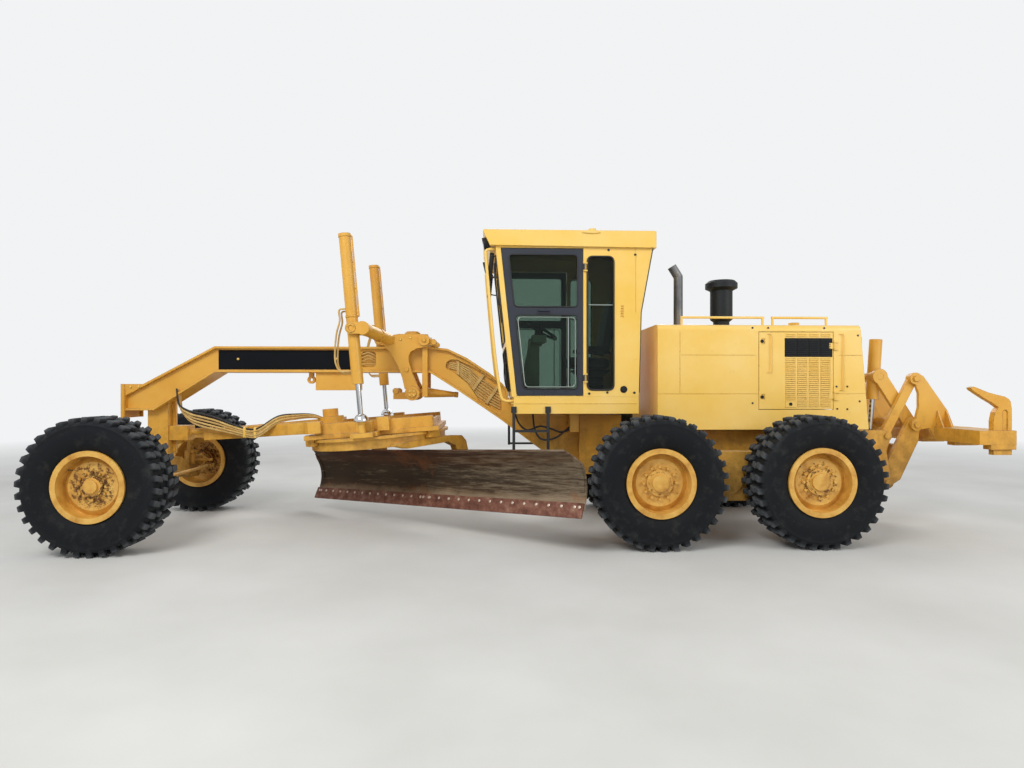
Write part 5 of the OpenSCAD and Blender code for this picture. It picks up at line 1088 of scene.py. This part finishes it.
def ring(x, z, radius, count, first=0.0):
    """Points on a circle, as pairs."""
    turns = [first + 2 * pi * k / count for k in range(count)]
    return [(x + radius * cos(a), z + radius * sin(a)) for a in turns]


# The strip's bolts, the levers of the saddle, the ends of the lock bar, the caps of the yokes, the top of the
# saddle, and the bracket behind the nose plate
places = on_flanks([(5.480, 1.990), (4.340, 1.995)], 0.1505)
places += on_flanks([(3.318, 2.240), (3.470, 2.235), (3.585, 2.215)], 0.2618)
places += on_flanks(ring(3.450, 1.590, 0.034, 4, pi / 4), 0.2955)
places += [m @ Matrix.Scale(0.5, 4) for m in on_flanks(ring(4.005, 2.280, 0.040, 3, 0.5), 0.9618)]
places += [facing((x, y, 2.3118), (0, 0, 1)) @ Matrix.Scale(0.6, 4) for x, y in ring(3.477, 0, 0.0835, 6)]
places += on_flanks([(6.590, 1.664), (6.680, 1.664)], 0.1898)
copies_at(hex_head(0.012, 0.011), places, "neck_and_saddle_bolts", panel_paint, "front_frame")

# %% [markdown]
# The cutting edge is held by plough bolts, whose flat heads sit in the plate and are polished by the soil.
# They follow the blade's own frame: the ball of the drawbar, its pitch, the centre of the circle, and the
# turn of the blade.

# %% Plough bolts
BLADE = (Matrix.Translation(BALL) @ Matrix.Rotation(PITCH, 4, "Y") @ Matrix.Translation(-REACH)
         @ Matrix.Rotation(TURN, 4, "Z"))
EDGE_TOP, EDGE_DOWN = Vector((-0.20185, 0, -0.94381)), Vector((0.4848, 0, -0.8746))
EDGE_OUT = Vector((0.8746, 0, 0.4848))
BOLT_STEP = 0.1524
# A row along the edge, a pair where the two plates of the edge meet, and one more at each end
along = [-1.535 + BOLT_STEP * k for k in range(28)] + [0.495, 0.585, 2.635, -1.495]
row = EDGE_TOP + EDGE_DOWN * 0.042 + EDGE_OUT * 0.0203
places = [BLADE @ facing(row + Vector((0, y, 0)), EDGE_OUT) for y in along]
copies_at(stepped_disc(14, 0.0155, 0.006, [(0.004, 0.002)]), places, "plough_bolts", polished_bolt, "moldboard",
          35)
print("plough bolts:", len(places))

# %% [markdown]
# ## Stage
# A pale floor and soft studio light show the paint at about its written colour.

# %% Floor, lamps and world
bpy.ops.object.select_all(action="DESELECT")
bpy.ops.mesh.primitive_plane_add(size=120, location=(2, 0, 0))
floor = bpy.context.object
floor.name = "floor"
mat, tree, here = new_material("pale_studio_floor")
noise = add(tree, "TexNoise", {"Scale": 0.7, "Detail": 6.0}, {"Vector": here})
tone = add(tree, "ValToRGB", {"stops": [(0.3, "#c9c8c3"), (0.7, "#d6d5d1")]}, {"Fac": noise})
shader = add(tree, "BsdfPrincipled", {"Roughness": 0.9}, {"Base Color": tone})
# Far from the machine, the floor fades into the backdrop for the camera, and keeps its shadow near it
away = add(tree, "VectorMath", {"operation": "LENGTH"}, {0: here})
fade = add(tree, "MapRange", {"From Min": 9.0, "From Max": 20.0}, {"Value": (away, "Value")})
sight = add(tree, "LightPath")
seen_far = add(tree, "Math", {"operation": "MULTIPLY"}, {0: fade, 1: (sight, "Is Camera Ray")})
glow = add(tree, "Emission", {"Color": linear("#f2f3f4"), "Strength": 1.0})
faded = add(tree, "MixShader", links={0: seen_far, 1: shader, 2: glow})
add(tree, "OutputMaterial", links={"Surface": faded})
floor.data.materials.append(mat)

world = bpy.data.worlds.new("studio")
scene.world = world
world.use_nodes = True
wt = world.node_tree
wt.nodes.clear()
light = add(wt, "Background", {"Color": linear("#eef2f6"), "Strength": 0.62})
seen = add(wt, "Background", {"Color": linear("#f2f3f4"), "Strength": 1.0})
path = add(wt, "LightPath")
ray = add(wt, "Math", {"operation": "MAXIMUM"}, {0: (path, "Is Camera Ray"), 1: (path, "Is Transmission Ray")})
all_rays = add(wt, "Math", {"operation": "MAXIMUM"}, {0: ray, 1: (path, "Is Glossy Ray")})
shown = add(wt, "MixShader", links={0: all_rays, 1: light, 2: seen})
add(wt, "OutputWorld", links={"Surface": shown})


def softbox(name, place, target, size, power):
    data = bpy.data.lights.new(name, "AREA")
    data.shape = "RECTANGLE"
    data.size, data.size_y = size
    data.energy = power
    lamp = bpy.data.objects.new(name, data)
    scene.collection.objects.link(lamp)
    lamp.location = place
    lamp.rotation_euler = (Vector(target) - Vector(place)).to_track_quat("-Z", "Y").to_euler()


softbox("key", (7.5, 9.0, 9.5), (2.0, 0, 1.2), (6, 4), 900)
softbox("fill", (-7.0, 7.0, 5.0), (1.5, 0, 1.2), (5, 4), 330)
softbox("back", (0.0, -9.0, 8.0), (2.0, 0, 1.2), (7, 4), 420)

scene.view_settings.view_transform = "Standard"
